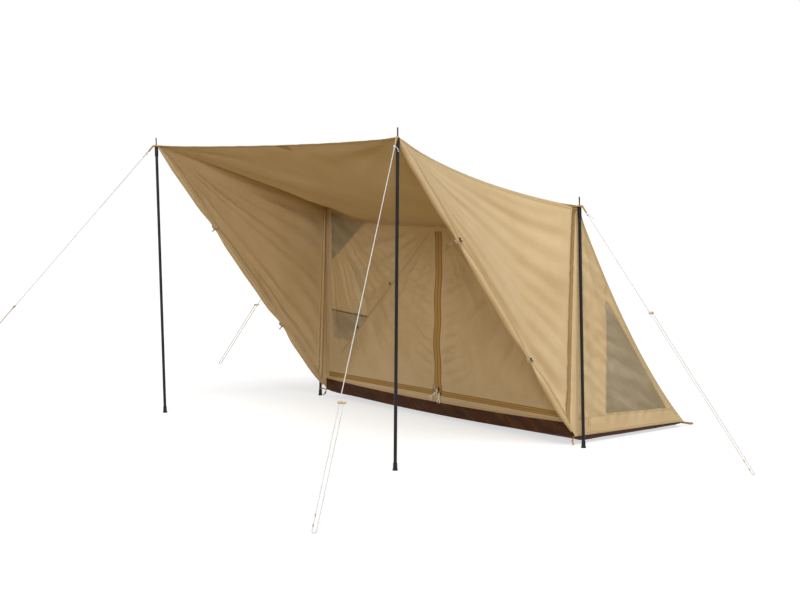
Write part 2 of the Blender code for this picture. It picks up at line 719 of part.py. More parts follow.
def build_door(side_name, side, cloth, tape):
    """One zipped door flap below the diagonal seam, with its half of the upright zip tape."""
    hinge = door_hinge(side)
    columns, rows_up = DOOR_CELLS
    inner_edge = CHAIN_GAP / 2 + ZIP_TAPE_WIDTH + SEAM_GAP
    notch = NOTCH_WIDTH + SEAM_GAP
    seam_gap = SEAM_GAP / math.cos(SEAM_ANGLE) * 1.5
    foot_z = seam_z(DOOR_FOOT_HALF) - seam_gap
    levels = [CHAIN_TOP, NOTCH_TOP, NOTCH_TOP + notch - inner_edge]
    levels += spread(rows_up - 4, foot_z, DOOR_TOP)
    rows = []
    for z in levels:
        near = inner_edge if z > NOTCH_TOP + 0.001 else notch
        far = min(DOOR_FOOT_HALF, seam_x(z) - seam_gap / SEAM_SLOPE)
        row = []
        for share in spread(columns):
            x = mix(near, far, share)
            down = seam_z(x) - z
            down *= math.cos(SEAM_ANGLE)
            inside = min(x - inner_edge, z - CHAIN_TOP, down, DOOR_TOP - z, DOOR_FOLD_MARGIN)
            fullness = max(inside / DOOR_FOLD_MARGIN - DOOR_FOLD_START, 0)
            fold = fullness * math.sin(DOOR_FOLD_WAVES[0] * x + DOOR_FOLD_WAVES[1] * z)
            row.append(Vector((side * x, FRONT_Y + CLOTH / 2 - FOLD_DEPTH * fold, z)))
        rows.append(row)
    place("door_" + side_name, sheet(rows, CLOTH, hinge), cloth, origin=hinge)
    strip = [(CHAIN_GAP / 2, NOTCH_TOP), (CHAIN_GAP / 2 + ZIP_TAPE_WIDTH, NOTCH_TOP),
             (CHAIN_GAP / 2 + ZIP_TAPE_WIDTH, DOOR_TOP), (CHAIN_GAP / 2, DOOR_TOP)]
    bm = plate([mirror(strip, side)], CLOTH, wall_frame(0))
    bm.transform(Matrix.Translation(-hinge))
    place("zip_tape_" + side_name, bm, tape, origin=hinge, smooth=False)


def door_hinge(side):
    """The point of the diagonal seam that carries a door flap's origin."""
    middle = DOOR_FOOT_HALF / 2
    return Vector((side * middle, FRONT_Y, seam_z(middle)))


def build_sill(cloth, tape):
    """The tan strip over the brown band, and the level zip tape on it."""
    top_half = HALF_RIDGE
    bottom = [(top_half * s, front_rim(top_half * s) + BAND_HEIGHT + SEAM_GAP)
              for s in spread(FLOOR_CELLS[0], -1, 1)]
    outline = bottom + [(top_half, SILL_TOP), (-top_half, SILL_TOP)]
    place("front_sill", plate([outline], CLOTH, wall_frame(0)), cloth, smooth=False)
    stop = ZIP_STOP_HALF
    stop_top = SLIDER_START - SLIDER_LENGTH / 2 - POLE_FIT
    strip = [(-ZIP_HALF_LENGTH, SILL_TOP + SEAM_GAP), (ZIP_HALF_LENGTH, SILL_TOP + SEAM_GAP),
             (ZIP_HALF_LENGTH, CHAIN_LOW), (stop, CHAIN_LOW), (stop, stop_top), (-stop, stop_top),
             (-stop, CHAIN_LOW), (-ZIP_HALF_LENGTH, CHAIN_LOW)]
    place("zip_tape_bottom", plate([strip], CLOTH, wall_frame(0)), tape, smooth=False)


def build_slider(name, centre, upright, metal):
    """A zip slider: two plates joined by a neck, with an ear for its pull."""
    half = SLIDER_WIDTH / 2
    front = -SLIDER_CLEARANCE - SLIDER_PLATE
    back = CLOTH + SLIDER_CLEARANCE + SLIDER_PLATE
    neck = SLIDER_NECK / 2
    section = [(-half, front), (half, front), (half, front + SLIDER_PLATE),
               (neck, front + SLIDER_PLATE), (neck, back - SLIDER_PLATE), (half, back - SLIDER_PLATE),
               (half, back), (-half, back), (-half, back - SLIDER_PLATE),
               (-neck, back - SLIDER_PLATE), (-neck, front + SLIDER_PLATE), (-half, front + SLIDER_PLATE)]
    across, run = ((1, 0, 0), (0, 0, 1)) if upright else ((0, 0, 1), (1, 0, 0))
    start = Vector(run) * (-SLIDER_LENGTH / 2)
    body = place(name, plate([section], SLIDER_LENGTH, frame_of(start, across, (0, 1, 0), run)),
                 metal, origin=centre, smooth=False)
    pivot = PIVOT_Y - FRONT_Y
    root = front + SLIDER_PLATE / 2
    outline = [(root, EAR_RADIUS)] + arc((pivot, 0), EAR_RADIUS, 90, 270, 8) + [(root, -EAR_RADIUS)]
    ear = plate([outline, circle((pivot, 0), EAR_HOLE)], EAR_THICKNESS,
                frame_of(centre - Vector((EAR_THICKNESS / 2, 0, 0)), (0, 1, 0), (0, 0, 1), (1, 0, 0)))
    fuse(body, place(name + "_ear", ear, metal, smooth=False))
    return body


def build_pull(name, centre, cord):
    """The cord pull that hangs from a slider's ear, with a knot at its end."""
    half = PULL_THICKNESS / 2
    ring, tail, knot = PULL_RING_HALF, PULL_TAIL_HALF, PULL_KNOT_HALF
    knot_top = -PULL_DROP + PULL_KNOT_LENGTH
    ease = PULL_CHAMFER
    right = [(ring, half), (ring, 2 * ease - PULL_RING_DROP), (tail, -PULL_RING_DROP),
             (tail, knot_top + ease), (knot, knot_top), (knot, ease - PULL_DROP), (knot - ease, -PULL_DROP)]
    outline = right + [(-a, b) for a, b in reversed(right)]
    inner = ring - PULL_RING_WALL
    sill = 3 * ease - PULL_RING_DROP
    window = [(-inner, -half), (inner, -half), (inner, sill), (-inner, sill)]
    flat = frame_of((0, -half, 0), (1, 0, 0), (0, 0, 1), (0, 1, 0))
    place(name, plate([outline, window], PULL_THICKNESS, flat), cord,
          origin=(centre.x, PIVOT_Y, centre.z), smooth=False)


def floor_height(s, t, edge):
    """Height of the groundsheet: flat on the ground, curving up to its rims."""
    half = mix(HALF_RIDGE, HALF_REAR, t)
    nearness = max(1 - (1 - abs(s)) * half / FLOOR_CURVE, 1 - t * FLOOR_DEPTH / FLOOR_CURVE,
                   1 - (1 - t) * FLOOR_DEPTH / FLOOR_CURVE, 0)
    return CLOTH / 2 + (edge - CLOTH / 2) * nearness ** 2


def build_groundsheet(sheeting):
    """The brown tray floor with its front upstand, pole loops and peg loops."""
    columns, depth = FLOOR_CELLS
    stations = spread(columns, -1, 1)
    front_half = HALF_RIDGE - FLOOR_INSET
    middle = FRONT_Y + CLOTH / 2
    rows = [[Vector((front_half * s, middle, front_rim(front_half * s) + height)) for s in stations]
            for height in (BAND_HEIGHT, BAND_HEIGHT / 2, 0)]
    for t in spread(depth)[1:]:
        row = []
        for s in stations:
            half = mix(front_half, HALF_REAR, t)
            y = mix(middle, REAR_Y - REAR_BOW * (1 - s * s) - CLOTH / 2, t)
            side_rim = end_rim(t) - CLOTH
            rear_rim = REAR_RIM - FLOOR_REAR_DROP
            edge = mix(mix(front_rim(front_half * s), side_rim, abs(s) ** 4), rear_rim, t ** 3)
            row.append(Vector((half * s, y, floor_height(s, t, edge))))
        rows.append(row)
    floor = place("groundsheet", sheet(rows, CLOTH), sheeting)
    webbing = bpy.data.materials["webbing"]
    for side_name, side in SIDES.items():
        foot, top = pole_ends("ridge", side)
        level = CORNER_RIM - POLE_LOOP_DROP
        axis = foot.lerp(top, level / top.z)
        inner_x = side * (HALF_RIDGE - POLE_LOOP_TAIL)
        outline = arc((axis.x, axis.y), EYE_RADIUS, 140, -140, SMALL_SIDES)
        outline = [(axis.x + side * (a - axis.x), b) for a, b in outline]
        outline += [(inner_x, FRONT_Y - POLE_LOOP_NECK), (inner_x, FRONT_Y + CLOTH * 0.8)]
        hole = circle((axis.x, axis.y), POLE_RADIUS + EYE_FIT)
        flat = frame_of((0, 0, level), (1, 0, 0), (0, 1, 0), (0, 0, 1))
        loop = place("pole_loop_" + side_name, plate([outline, hole], EYE_THICKNESS, flat), webbing)
        fuse(floor, loop)
        fuse(floor, peg_loop(side_name, side, webbing))
    return floor


def peg_loop(side_name, side, webbing):
    """The webbing loop from a rear corner down to its peg."""
    inset, back, drop = PEG_LOOP_ROOT
    root = Vector((side * (HALF_REAR - inset), REAR_Y - back, REAR_RIM - drop))
    end = Vector((side * (HALF_REAR - PEG_LOOP_INSET), REAR_Y + PEG_LOOP_REACH, PEG_LOOP_LOW))
    run = (end - root).normalized()
    across = Vector((run.y, -run.x, 0)).normalized()
    up = across.cross(run)
    length = (end - root).length
    half = PEG_LOOP_WIDTH / 2
    outline = [(0, -half), (length - half, -half)]
    outline += arc((length - half, 0), half, -90, 90, 8)[1:-1]
    outline += [(length - half, half), (0, half)]
    hole = circle((length - half, 0), PEG_LOOP_HOLE)
    strap = plate([outline, hole], PEG_LOOP_THICKNESS, frame_of(root, run, across, up))
    return place("peg_loop_" + side_name, strap, webbing)


def guy_pin(corner):
    """The point of a pole's pin that a guyline is tied to, over the webbing eye."""
    row, side_name = corner.split("_")
    kind = "canopy" if row == "front" else "ridge"
    lift = EYE_SEAT + EYE_THICKNESS + CORD_FIT + CORD_RADIUS
    return pole_ends(kind, SIDES[side_name])[1] + Vector((0, 0, lift))


def guy_geometry(corner):
    """Elbow beside the pin, unit direction, sideways direction and length down to the ground."""
    pin = guy_pin(corner)
    x, y = GUY_ENDS[corner]
    anchor = pin + Vector((x - pin.x, y - pin.y, 0)).normalized() * CORD_ELBOW
    run = Vector((x, y, CORD_GROUND_CLEARANCE)) - anchor
    down = run.normalized()
    return anchor, down, Vector((-down.y, down.x, 0)).normalized(), run.length


def guy_route(corner):
    """The guyline's centreline: off the pin, down to the peg, round it, and up to the slider."""
    anchor, down, sideways, length = guy_geometry(corner)
    pin = guy_pin(corner)
    bend = LEG_GAP / 2
    points = [pin + (anchor - pin).normalized() * (PIN_RADIUS + CORD_FIT)]
    points += [anchor + down * d for d in spread(12, 0, length - bend)]
    centre = anchor + down * (length - bend) + sideways * bend
    for angle in spread(12, 0, math.pi)[1:]:
        points.append(centre - sideways * (bend * math.cos(angle)) + down * (bend * math.sin(angle)))
    stop = length * ADJUSTER_PLACES[corner] + ADJUSTER_THICKNESS / 2 + SEAM_GAP
    points += [anchor + sideways * LEG_GAP + down * d for d in spread(8, length - bend, stop)[1:]]
    return points


def build_guyline(corner, rope, wood):
    """One guyline as a taut doubled cord, and the sliding bar that sets its length."""
    curve = bpy.data.curves.new("guyline_" + corner, "CURVE")
    curve.dimensions = "3D"
    curve.bevel_depth = CORD_RADIUS
    curve.bevel_resolution = 2
    curve.render_resolution_u = 0
    curve.use_fill_caps = True
    route = guy_route(corner)
    spline = curve.splines.new("POLY")
    spline.points.add(len(route) - 1)
    for target, point in zip(spline.points, route):
        target.co = (*point, 1)
    curve.materials.append(rope)
    line = bpy.data.objects.new("guyline_" + corner, curve)
    bpy.context.scene.collection.objects.link(line)
    anchor, down, sideways, length = guy_geometry(corner)
    centre = anchor + down * (length * ADJUSTER_PLACES[corner])
    half, radius = ADJUSTER_LENGTH / 2, ADJUSTER_WIDTH / 2
    middle = LEG_GAP / 2
    outline = arc((middle + half - radius, 0), radius, -90, 90, 6)
    outline += arc((middle - half + radius, 0), radius, 90, 270, 6)
    flat = frame_of(down * (-ADJUSTER_THICKNESS / 2), sideways, down.cross(sideways), down)
    bar = plate([outline, circle((0, 0), ADJUSTER_HOLE)], ADJUSTER_THICKNESS, flat)
    place("adjuster_" + corner, bar, wood, origin=centre)


def clear_scene():
    """Start from an empty scene."""
    for old in list(bpy.data.objects):
        bpy.data.objects.remove(old)


def build_tent():
    """Build every piece of the tent."""
    clear_scene()
    canvas = finish("canvas", "CDB388", 0.85)
    finish("webbing", "C2A36F", 0.80)
    netting = finish("netting", "6E6350", 0.90)
    sheeting = finish("sheeting", "3A1F0C", 0.75)
    tape = finish("zip_tape", "7D5D28", 0.70)
    steel = finish("pole_steel", "15161A", 0.35, 0.6)
    tip = finish("pole_tip", "101114", 0.60)
    rope = finish("rope", "EDE9DF", 0.80)
    wood = finish("adjuster_wood", "C9A56B", 0.60)
    dark = finish("toggle_horn", "2B2622", 0.45)
    metal = finish("slider_metal", "6B5A35", 0.40, 0.8)
    build_canopy(canvas)
    build_rear_roof(canvas)
    build_sill(canvas, tape)
    build_groundsheet(sheeting)
    for side_name, side in SIDES.items():
        sections = {"ridge": RIDGE_POLE_SECTIONS, "canopy": CANOPY_POLE_SECTIONS}
        for kind, names in sections.items():
            foot, top = pole_ends(kind, side)
            build_pole(kind + "_pole_" + side_name, foot, top, names, steel, tip)
        build_wing(side_name, side, canvas)
        build_roll(side_name, side, canvas)
        for place_name, tie in zip(("lower", "upper"), ROLL_TIE_PLACES):
            build_toggle(place_name, tie, side_name, side, dark)
        build_end_wall(side_name, side, canvas, netting)
        build_front_panel(side_name, side, canvas, netting)
        build_door(side_name, side, canvas, tape)
    centre_place = Vector((0, FRONT_Y, SLIDER_START))
    build_slider("slider_centre", centre_place, True, metal)
    build_pull("pull_centre", centre_place, rope)
    for side_name, side in SIDES.items():
        side_place = Vector((side * SIDE_SLIDER_START, FRONT_Y, CHAIN_Z))
        build_slider("slider_" + side_name, side_place, False, metal)
        build_pull("pull_" + side_name, side_place, rope)
    for corner in GUY_ENDS:
        build_guyline(corner, rope, wood)


build_tent()
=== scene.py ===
"""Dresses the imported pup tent: canvas, netting, zips, cords, poles and their fittings.

The frame is the model's own: metres, +X along the ridge to the right of someone facing the
front wall, +Y to the rear, +Z up, the origin under the middle of the groundsheet.
"""
from __future__ import annotations

import json
import logging
from dataclasses import dataclass, field
from enum import Enum
from math import atan, atan2, cos, exp, hypot, pi, radians, sin
from typing import Callable, Sequence

import bpy
import numpy as np
from mathutils import Vector, geometry, noise
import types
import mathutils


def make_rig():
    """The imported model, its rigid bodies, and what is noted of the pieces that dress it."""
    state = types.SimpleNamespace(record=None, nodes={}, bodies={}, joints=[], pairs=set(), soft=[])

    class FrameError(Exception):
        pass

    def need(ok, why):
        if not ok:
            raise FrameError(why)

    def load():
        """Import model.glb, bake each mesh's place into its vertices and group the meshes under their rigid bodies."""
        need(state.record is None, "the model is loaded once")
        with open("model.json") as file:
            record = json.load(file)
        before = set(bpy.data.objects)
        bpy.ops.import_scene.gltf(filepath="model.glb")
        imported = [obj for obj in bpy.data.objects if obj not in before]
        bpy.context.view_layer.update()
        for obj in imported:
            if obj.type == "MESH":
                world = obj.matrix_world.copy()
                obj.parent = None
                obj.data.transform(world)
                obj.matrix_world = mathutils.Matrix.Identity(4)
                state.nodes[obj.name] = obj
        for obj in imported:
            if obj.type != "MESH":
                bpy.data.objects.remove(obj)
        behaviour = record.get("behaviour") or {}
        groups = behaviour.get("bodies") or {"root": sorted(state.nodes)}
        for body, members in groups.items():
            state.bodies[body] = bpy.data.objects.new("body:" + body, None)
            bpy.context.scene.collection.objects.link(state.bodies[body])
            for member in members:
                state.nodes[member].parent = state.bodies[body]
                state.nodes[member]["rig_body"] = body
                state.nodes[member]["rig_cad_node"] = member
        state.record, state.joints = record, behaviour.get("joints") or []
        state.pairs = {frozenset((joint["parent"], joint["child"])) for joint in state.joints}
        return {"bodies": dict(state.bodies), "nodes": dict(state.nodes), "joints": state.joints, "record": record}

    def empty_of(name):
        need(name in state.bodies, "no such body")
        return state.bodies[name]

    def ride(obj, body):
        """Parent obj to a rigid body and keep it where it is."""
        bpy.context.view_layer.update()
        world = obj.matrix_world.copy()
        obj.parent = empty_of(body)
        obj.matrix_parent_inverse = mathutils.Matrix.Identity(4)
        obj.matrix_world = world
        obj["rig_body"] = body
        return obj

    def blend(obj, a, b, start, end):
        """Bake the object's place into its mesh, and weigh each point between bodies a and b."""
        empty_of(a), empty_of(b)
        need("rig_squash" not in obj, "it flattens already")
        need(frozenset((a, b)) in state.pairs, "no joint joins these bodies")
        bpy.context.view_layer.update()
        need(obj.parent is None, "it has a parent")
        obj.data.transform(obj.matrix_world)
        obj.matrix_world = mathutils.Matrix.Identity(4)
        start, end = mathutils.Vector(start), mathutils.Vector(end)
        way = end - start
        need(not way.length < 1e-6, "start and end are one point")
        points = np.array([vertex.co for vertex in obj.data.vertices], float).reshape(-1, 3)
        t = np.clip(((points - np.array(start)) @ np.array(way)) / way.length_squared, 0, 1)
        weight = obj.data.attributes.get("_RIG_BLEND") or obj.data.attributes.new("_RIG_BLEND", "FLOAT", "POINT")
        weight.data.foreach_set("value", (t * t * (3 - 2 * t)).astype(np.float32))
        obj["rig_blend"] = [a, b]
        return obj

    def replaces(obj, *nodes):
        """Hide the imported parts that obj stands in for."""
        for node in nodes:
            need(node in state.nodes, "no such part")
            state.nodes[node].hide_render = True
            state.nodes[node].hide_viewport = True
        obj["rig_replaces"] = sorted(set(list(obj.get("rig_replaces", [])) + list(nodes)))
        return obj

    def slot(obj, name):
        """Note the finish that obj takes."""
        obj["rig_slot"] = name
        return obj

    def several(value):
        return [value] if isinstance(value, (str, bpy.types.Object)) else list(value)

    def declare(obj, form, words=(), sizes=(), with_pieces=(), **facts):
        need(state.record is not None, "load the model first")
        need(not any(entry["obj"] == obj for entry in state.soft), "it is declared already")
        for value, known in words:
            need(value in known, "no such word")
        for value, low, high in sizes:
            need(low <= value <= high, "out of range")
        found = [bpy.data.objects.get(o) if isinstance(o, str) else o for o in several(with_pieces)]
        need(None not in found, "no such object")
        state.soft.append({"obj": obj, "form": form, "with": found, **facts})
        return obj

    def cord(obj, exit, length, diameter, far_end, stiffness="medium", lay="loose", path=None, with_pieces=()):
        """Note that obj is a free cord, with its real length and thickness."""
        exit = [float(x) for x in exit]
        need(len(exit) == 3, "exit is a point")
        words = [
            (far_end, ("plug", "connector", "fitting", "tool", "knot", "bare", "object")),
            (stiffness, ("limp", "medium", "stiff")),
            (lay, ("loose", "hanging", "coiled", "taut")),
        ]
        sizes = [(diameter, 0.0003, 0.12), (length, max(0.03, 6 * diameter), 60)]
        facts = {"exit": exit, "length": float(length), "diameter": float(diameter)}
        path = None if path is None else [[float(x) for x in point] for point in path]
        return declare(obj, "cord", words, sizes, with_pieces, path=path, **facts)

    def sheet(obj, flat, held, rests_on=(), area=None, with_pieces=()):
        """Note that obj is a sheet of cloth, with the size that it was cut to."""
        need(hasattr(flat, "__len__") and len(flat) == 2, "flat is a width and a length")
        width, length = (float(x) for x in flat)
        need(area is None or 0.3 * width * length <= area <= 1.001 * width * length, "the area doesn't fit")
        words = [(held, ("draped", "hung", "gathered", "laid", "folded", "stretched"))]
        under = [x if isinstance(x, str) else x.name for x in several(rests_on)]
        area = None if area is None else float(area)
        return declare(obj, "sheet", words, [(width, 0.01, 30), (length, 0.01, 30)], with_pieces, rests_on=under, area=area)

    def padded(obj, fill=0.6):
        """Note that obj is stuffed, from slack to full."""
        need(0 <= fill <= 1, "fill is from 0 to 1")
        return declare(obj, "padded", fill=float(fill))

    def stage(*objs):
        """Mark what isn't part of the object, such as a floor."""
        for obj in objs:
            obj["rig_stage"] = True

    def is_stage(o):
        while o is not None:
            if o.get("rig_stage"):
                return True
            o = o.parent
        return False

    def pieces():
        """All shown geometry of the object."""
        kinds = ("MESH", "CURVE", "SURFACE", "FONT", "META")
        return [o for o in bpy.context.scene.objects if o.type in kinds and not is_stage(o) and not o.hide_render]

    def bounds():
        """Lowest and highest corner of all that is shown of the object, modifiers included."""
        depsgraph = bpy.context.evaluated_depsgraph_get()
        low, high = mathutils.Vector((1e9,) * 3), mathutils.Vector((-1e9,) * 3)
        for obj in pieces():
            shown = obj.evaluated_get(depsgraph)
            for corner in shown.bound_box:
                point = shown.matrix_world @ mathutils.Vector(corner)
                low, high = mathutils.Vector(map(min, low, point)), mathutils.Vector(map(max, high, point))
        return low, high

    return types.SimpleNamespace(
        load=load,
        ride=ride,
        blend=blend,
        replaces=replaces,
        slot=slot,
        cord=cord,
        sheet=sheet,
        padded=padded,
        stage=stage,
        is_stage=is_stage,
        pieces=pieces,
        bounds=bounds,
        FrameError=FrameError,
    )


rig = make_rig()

LOG = logging.getLogger("pup_tent")
MM = 0.001
# How thick the canvas with the floor cloth, and the nets, are drawn.
CLOTH = 1.2 * MM
NET_CLOTH = 0.6 * MM
# A wave texture of scale 1 repeats every 0.314 m.
WAVE_SCALE = 0.314
# By the pole's kind: how far the cloth's corner is drawn on to the pin, and where that has faded.
CORNER_PULL = {"ridge": (0.013, 0.0, 0.003, 0.05), "canopy": (0.012, -0.009, 0.004, 0.10)}
UP = Vector((0, 0, 1))
FORWARD = Vector((0, -1, 0))
Pair = tuple[float, float]
Triple = tuple[float, float, float]
Stops = tuple[tuple[float, str], ...]
Plain = tuple[tuple[str, float], ...]
Line = Sequence[Vector]
Surface = Callable[[float, float], Vector]
Tree = bpy.types.NodeTree
Socket = bpy.types.NodeSocket
Object = bpy.types.Object


class Side(Enum):
    """The two ends of the tent, left and right of someone facing the front wall."""

    LEFT = -1
    RIGHT = 1

    @property
    def word(self) -> str:
        """The side's name as the nodes spell it."""
        return self.name.lower()


class Corner(Enum):
    """The four guyline corners: pole kind, side, the line's ground point, the slider's share of it."""

    FRONT_LEFT = ("canopy", Side.LEFT, (-2.000, -2.645), 0.604)
    FRONT_RIGHT = ("canopy", Side.RIGHT, (1.970, -2.581), 0.7075)
    REAR_LEFT = ("ridge", Side.LEFT, (-2.984, -0.113), 0.600)
    REAR_RIGHT = ("ridge", Side.RIGHT, (2.187, -0.342), 0.421)

    @property
    def word(self) -> str:
        """The corner's name as the nodes spell it."""
        return self.name.lower()


def mix(a: float, b: float, share: float) -> float:
    """The value a share of the way from a to b."""
    return a + (b - a) * share


def hump(share: float) -> float:
    """0 at both ends of 0 to 1, and 1 in the middle."""
    return 4 * share * (1 - share)


def clamp(value: float, low: float = 0.0, high: float = 1.0) -> float:
    """The value, kept between low and high."""
    return min(max(value, low), high)


def ease(value: float, low: float, high: float) -> float:
    """A smooth step from 0 at low to 1 at high."""
    share = clamp((value - low) / (high - low))
    return share * share * (3 - 2 * share)


def spread(count: int, low: float = 0.0, high: float = 1.0) -> list[float]:
    """Evenly spaced values from low to high, in count steps."""
    return [mix(low, high, i / count) for i in range(count + 1)]


def wander(x: float, y: float, seed: float) -> float:
    """Smooth noise of about -1 to 1, the same on every run."""
    return noise.noise(Vector((x, y, seed)))


@dataclass(frozen=True)
class TentShape:
    """The pitched tent's driving sizes and the curves of its seams, in metres."""

    ridge_height: float = 1.20
    ridge_length: float = 2.24
    ridge_sag: float = 0.113
    ridge_sag_power: int = 5
    floor_depth: float = 0.89
    rear_width: float = 2.04
    rear_bow: float = 0.04
    rear_rim: float = 0.030
    roof_sag: float = 0.10
    corner_rim: float = 0.0478
    middle_rim: float = 0.024
    cloth_lift: float = 0.0023
    canopy_height: float = 1.52
    canopy_width: float = 2.28
    canopy_depth: float = 1.118
    canopy_side_bow: float = 0.11
    canopy_side_sag: float = 0.025
    canopy_front_bow: float = 0.09
    canopy_front_sag: float = 0.012
    canopy_belly: float = 0.025
    roll_radius: float = 0.0225
    roll_end_radius: float = 0.0055
    roll_tie_radius: float = 0.0165
    roll_pinch: Pair = (0.0085, 0.0130)
    roll_ties: Pair = (0.28, 0.684)
    roll_start: float = 0.02
    roll_end: float = 0.9975
    seam_apex: float = 1.095
    seam_slope: float = 0.853
    roof_length: float = 1.49

    @property
    def half_ridge(self) -> float:
        """Half the ridge's length."""
        return self.ridge_length / 2

    @property
    def half_rear(self) -> float:
        """Half the rear hem's length."""
        return self.rear_width / 2

    @property
    def half_canopy(self) -> float:
        """Half the canopy's front edge."""
        return self.canopy_width / 2

    @property
    def front_y(self) -> float:
        """Where the front wall stands."""
        return -self.floor_depth / 2

    @property
    def rear_y(self) -> float:
        """Where the rear hem's corners are."""
        return self.floor_depth / 2

    @staticmethod
    def corner_pull(kind: str, side: int, away: float) -> Vector:
        """How the cloth is drawn on to a pole's pin, at a distance from its corner.

        Args:
            kind: The pole's kind, "ridge" or "canopy".
            side: The pole's side, -1 or 1.
            away: Distance from the corner.

        Returns:
            The shift.
        """
        x, y, z, reach = CORNER_PULL[kind]
        return Vector((side * x, y, z)) * exp(-(away / reach) ** 2)

    def ridge(self, s: float) -> Vector:
        """The ridge seam, s from -1 at the left pole to 1 at the right pole."""
        drop = self.ridge_sag * (1 - abs(s) ** self.ridge_sag_power)
        seam = Vector((self.half_ridge * s, self.front_y, self.ridge_height + self.cloth_lift - drop))
        return seam + self.corner_pull("ridge", 1 if s > 0 else -1, (1 - abs(s)) * self.half_ridge)

    def canopy_front(self, s: float) -> Vector:
        """The canopy's free front edge, s from -1 to 1."""
        y = self.front_y - self.canopy_depth + self.canopy_front_bow * (1 - s * s)
        sag = self.canopy_front_sag * (1 - s * s)
        edge = Vector((self.half_canopy * s, y, self.canopy_height + self.cloth_lift - sag))
        return edge + self.corner_pull("canopy", 1 if s > 0 else -1, (1 - abs(s)) * self.half_canopy)

    def canopy_side(self, t: float, side: int) -> Vector:
        """The seam of canopy and wing, t from 0 at the ridge to 1 at the canopy pole."""
        x = mix(self.half_ridge, self.half_canopy, t) - self.canopy_side_bow * hump(t)
        z = mix(self.ridge_height, self.canopy_height, t) + self.cloth_lift
        seam = Vector((side * x, self.front_y - self.canopy_depth * t, z - self.canopy_side_sag * hump(t)))
        seam += self.corner_pull("ridge", side, t * self.canopy_depth)
        return seam + self.corner_pull("canopy", side, (1 - t) * self.canopy_depth)

    def roof_side(self, t: float, side: int) -> Vector:
        """The seam of rear roof and end wall, t from 0 at the ridge to 1 at the rear corner."""
        z = mix(self.ridge_height + self.cloth_lift, self.rear_rim, t) - self.roof_sag * hump(t)
        x = mix(self.half_ridge, self.half_rear, t)
        seam = Vector((side * x, mix(self.front_y, self.rear_y, t), z))
        return seam + self.corner_pull("ridge", side, t * self.roof_length)

    def rear_hem(self, s: float) -> Vector:
        """The rear roof's bottom edge, s from -1 to 1."""
        return Vector((self.half_rear * s, self.rear_y - self.rear_bow * (1 - s * s), self.rear_rim))

    def roll_line(self, t: float, side: int) -> Vector:
        """The middle of the rolled edge, t from 0 at the ground corner to 1 at the canopy pole."""
        low = Vector((side * self.half_ridge, self.front_y, self.corner_rim))
        high = Vector((side * self.half_canopy, self.front_y - self.canopy_depth, self.canopy_height))
        return low.lerp(high, t) + Vector((side * 0.005, -0.004, 0)) * ease(t, 0.94, 1.0)

    def roll_fullness(self, t: float) -> float:
        """Share of the roll's full radius, 0 at its ends."""
        return clamp(min((t - self.roll_start) / 0.10, (self.roll_end - t) / 0.10))

    def roll_envelope(self, t: float) -> float:
        """Radius of the rolled cloth as if it had no ties."""
        share = sin(self.roll_fullness(t) * pi / 2)
        return mix(self.roll_end_radius, self.roll_radius, share)

    def roll_thickness(self, t: float) -> float:
        """Radius of the rolled cloth, drawn in at its two ties."""
        radius = self.roll_envelope(t)
        for tie, pinch in zip(self.roll_ties, self.roll_pinch):
            away = max(abs(t - tie) - 0.010, 0)
            radius -= (self.roll_radius - pinch) * exp(-(away / 0.045) ** 2)
        return radius

    def seam_x(self, z: float) -> float:
        """Distance of the door's slanting seam from the middle, at a height."""
        return (self.seam_apex - z) / self.seam_slope

    def seam_z(self, x: float) -> float:
        """Height of the door's slanting seam, at a distance from the middle."""
        return self.seam_apex - self.seam_slope * x

    def front_rim(self, x: float) -> float:
        """Height of the groundsheet's front rim."""
        return mix(self.middle_rim, self.corner_rim - 0.002, (x / self.half_ridge) ** 2)

    def end_rim(self, t: float) -> float:
        """Height of an end wall's bottom edge, t from front to rear."""
        return mix(self.corner_rim, self.rear_rim, t)

    def pole(self, kind: str, side: Side) -> tuple[Vector, Vector]:
        """The ground point and the shoulder point of a pole's axis."""
        if kind == "ridge":
            top = Vector((side.value * (self.half_ridge + 0.020), self.front_y, self.ridge_height))
            return top + Vector((side.value * 0.045, 0, -self.ridge_height)), top
        top = Vector((side.value * (self.half_canopy + 0.015), self.front_y - self.canopy_depth - 0.012,
                      self.canopy_height))
        return top + Vector((-side.value * 0.040, 0.015, -self.canopy_height)), top

    @staticmethod
    def patch(s: float, t: float, low: Callable[[float], Vector], high: Callable[[float], Vector],
              sides: Callable[[float, int], Vector]) -> Vector:
        """A point of the surface stretched between two edges and two sides.

        Args:
            s: Place across, -1 to 1.
            t: Place from the low edge to the high edge, 0 to 1.
            low: The edge at t = 0.
            high: The edge at t = 1.
            sides: The side curves, by t and side.

        Returns:
            The point.
        """
        u = (s + 1) / 2
        edges = low(s) * (1 - t) + high(s) * t
        across = sides(t, -1) * (1 - u) + sides(t, 1) * u
        corners = (low(-1) * (1 - t) + high(-1) * t) * (1 - u) + (low(1) * (1 - t) + high(1) * t) * u
        return edges + across - corners


def linear(hex_colour: str) -> tuple[float, ...]:
    """An sRGB colour of six hex digits as linear RGBA."""
    channels = [int(hex_colour[i:i + 2], 16) / 255 for i in (0, 2, 4)]
    return (*[c / 12.92 if c <= 0.04045 else ((c + 0.055) / 1.055) ** 2.4 for c in channels], 1.0)


def fill(node: bpy.types.Node, values: dict) -> None:
    """Set a node's properties, its plain input values and its links.

    Args:
        node: The node.
        values: By name or input number. A socket is linked; "stops" are a ramp's places and colours.
    """
    for key, value in values.items():
        if key == "stops":
            elements = node.color_ramp.elements
            while len(elements) < len(value):
                elements.new(0.5)
            for element, (place, colour) in zip(elements, value):
                element.position = place
                element.color = linear(colour)
        elif isinstance(value, Socket):
            node.id_data.links.new(value, node.inputs[key])
        elif isinstance(key, str) and hasattr(node, key):
            setattr(node, key, value)
        else:
            node.inputs[key].default_value = value


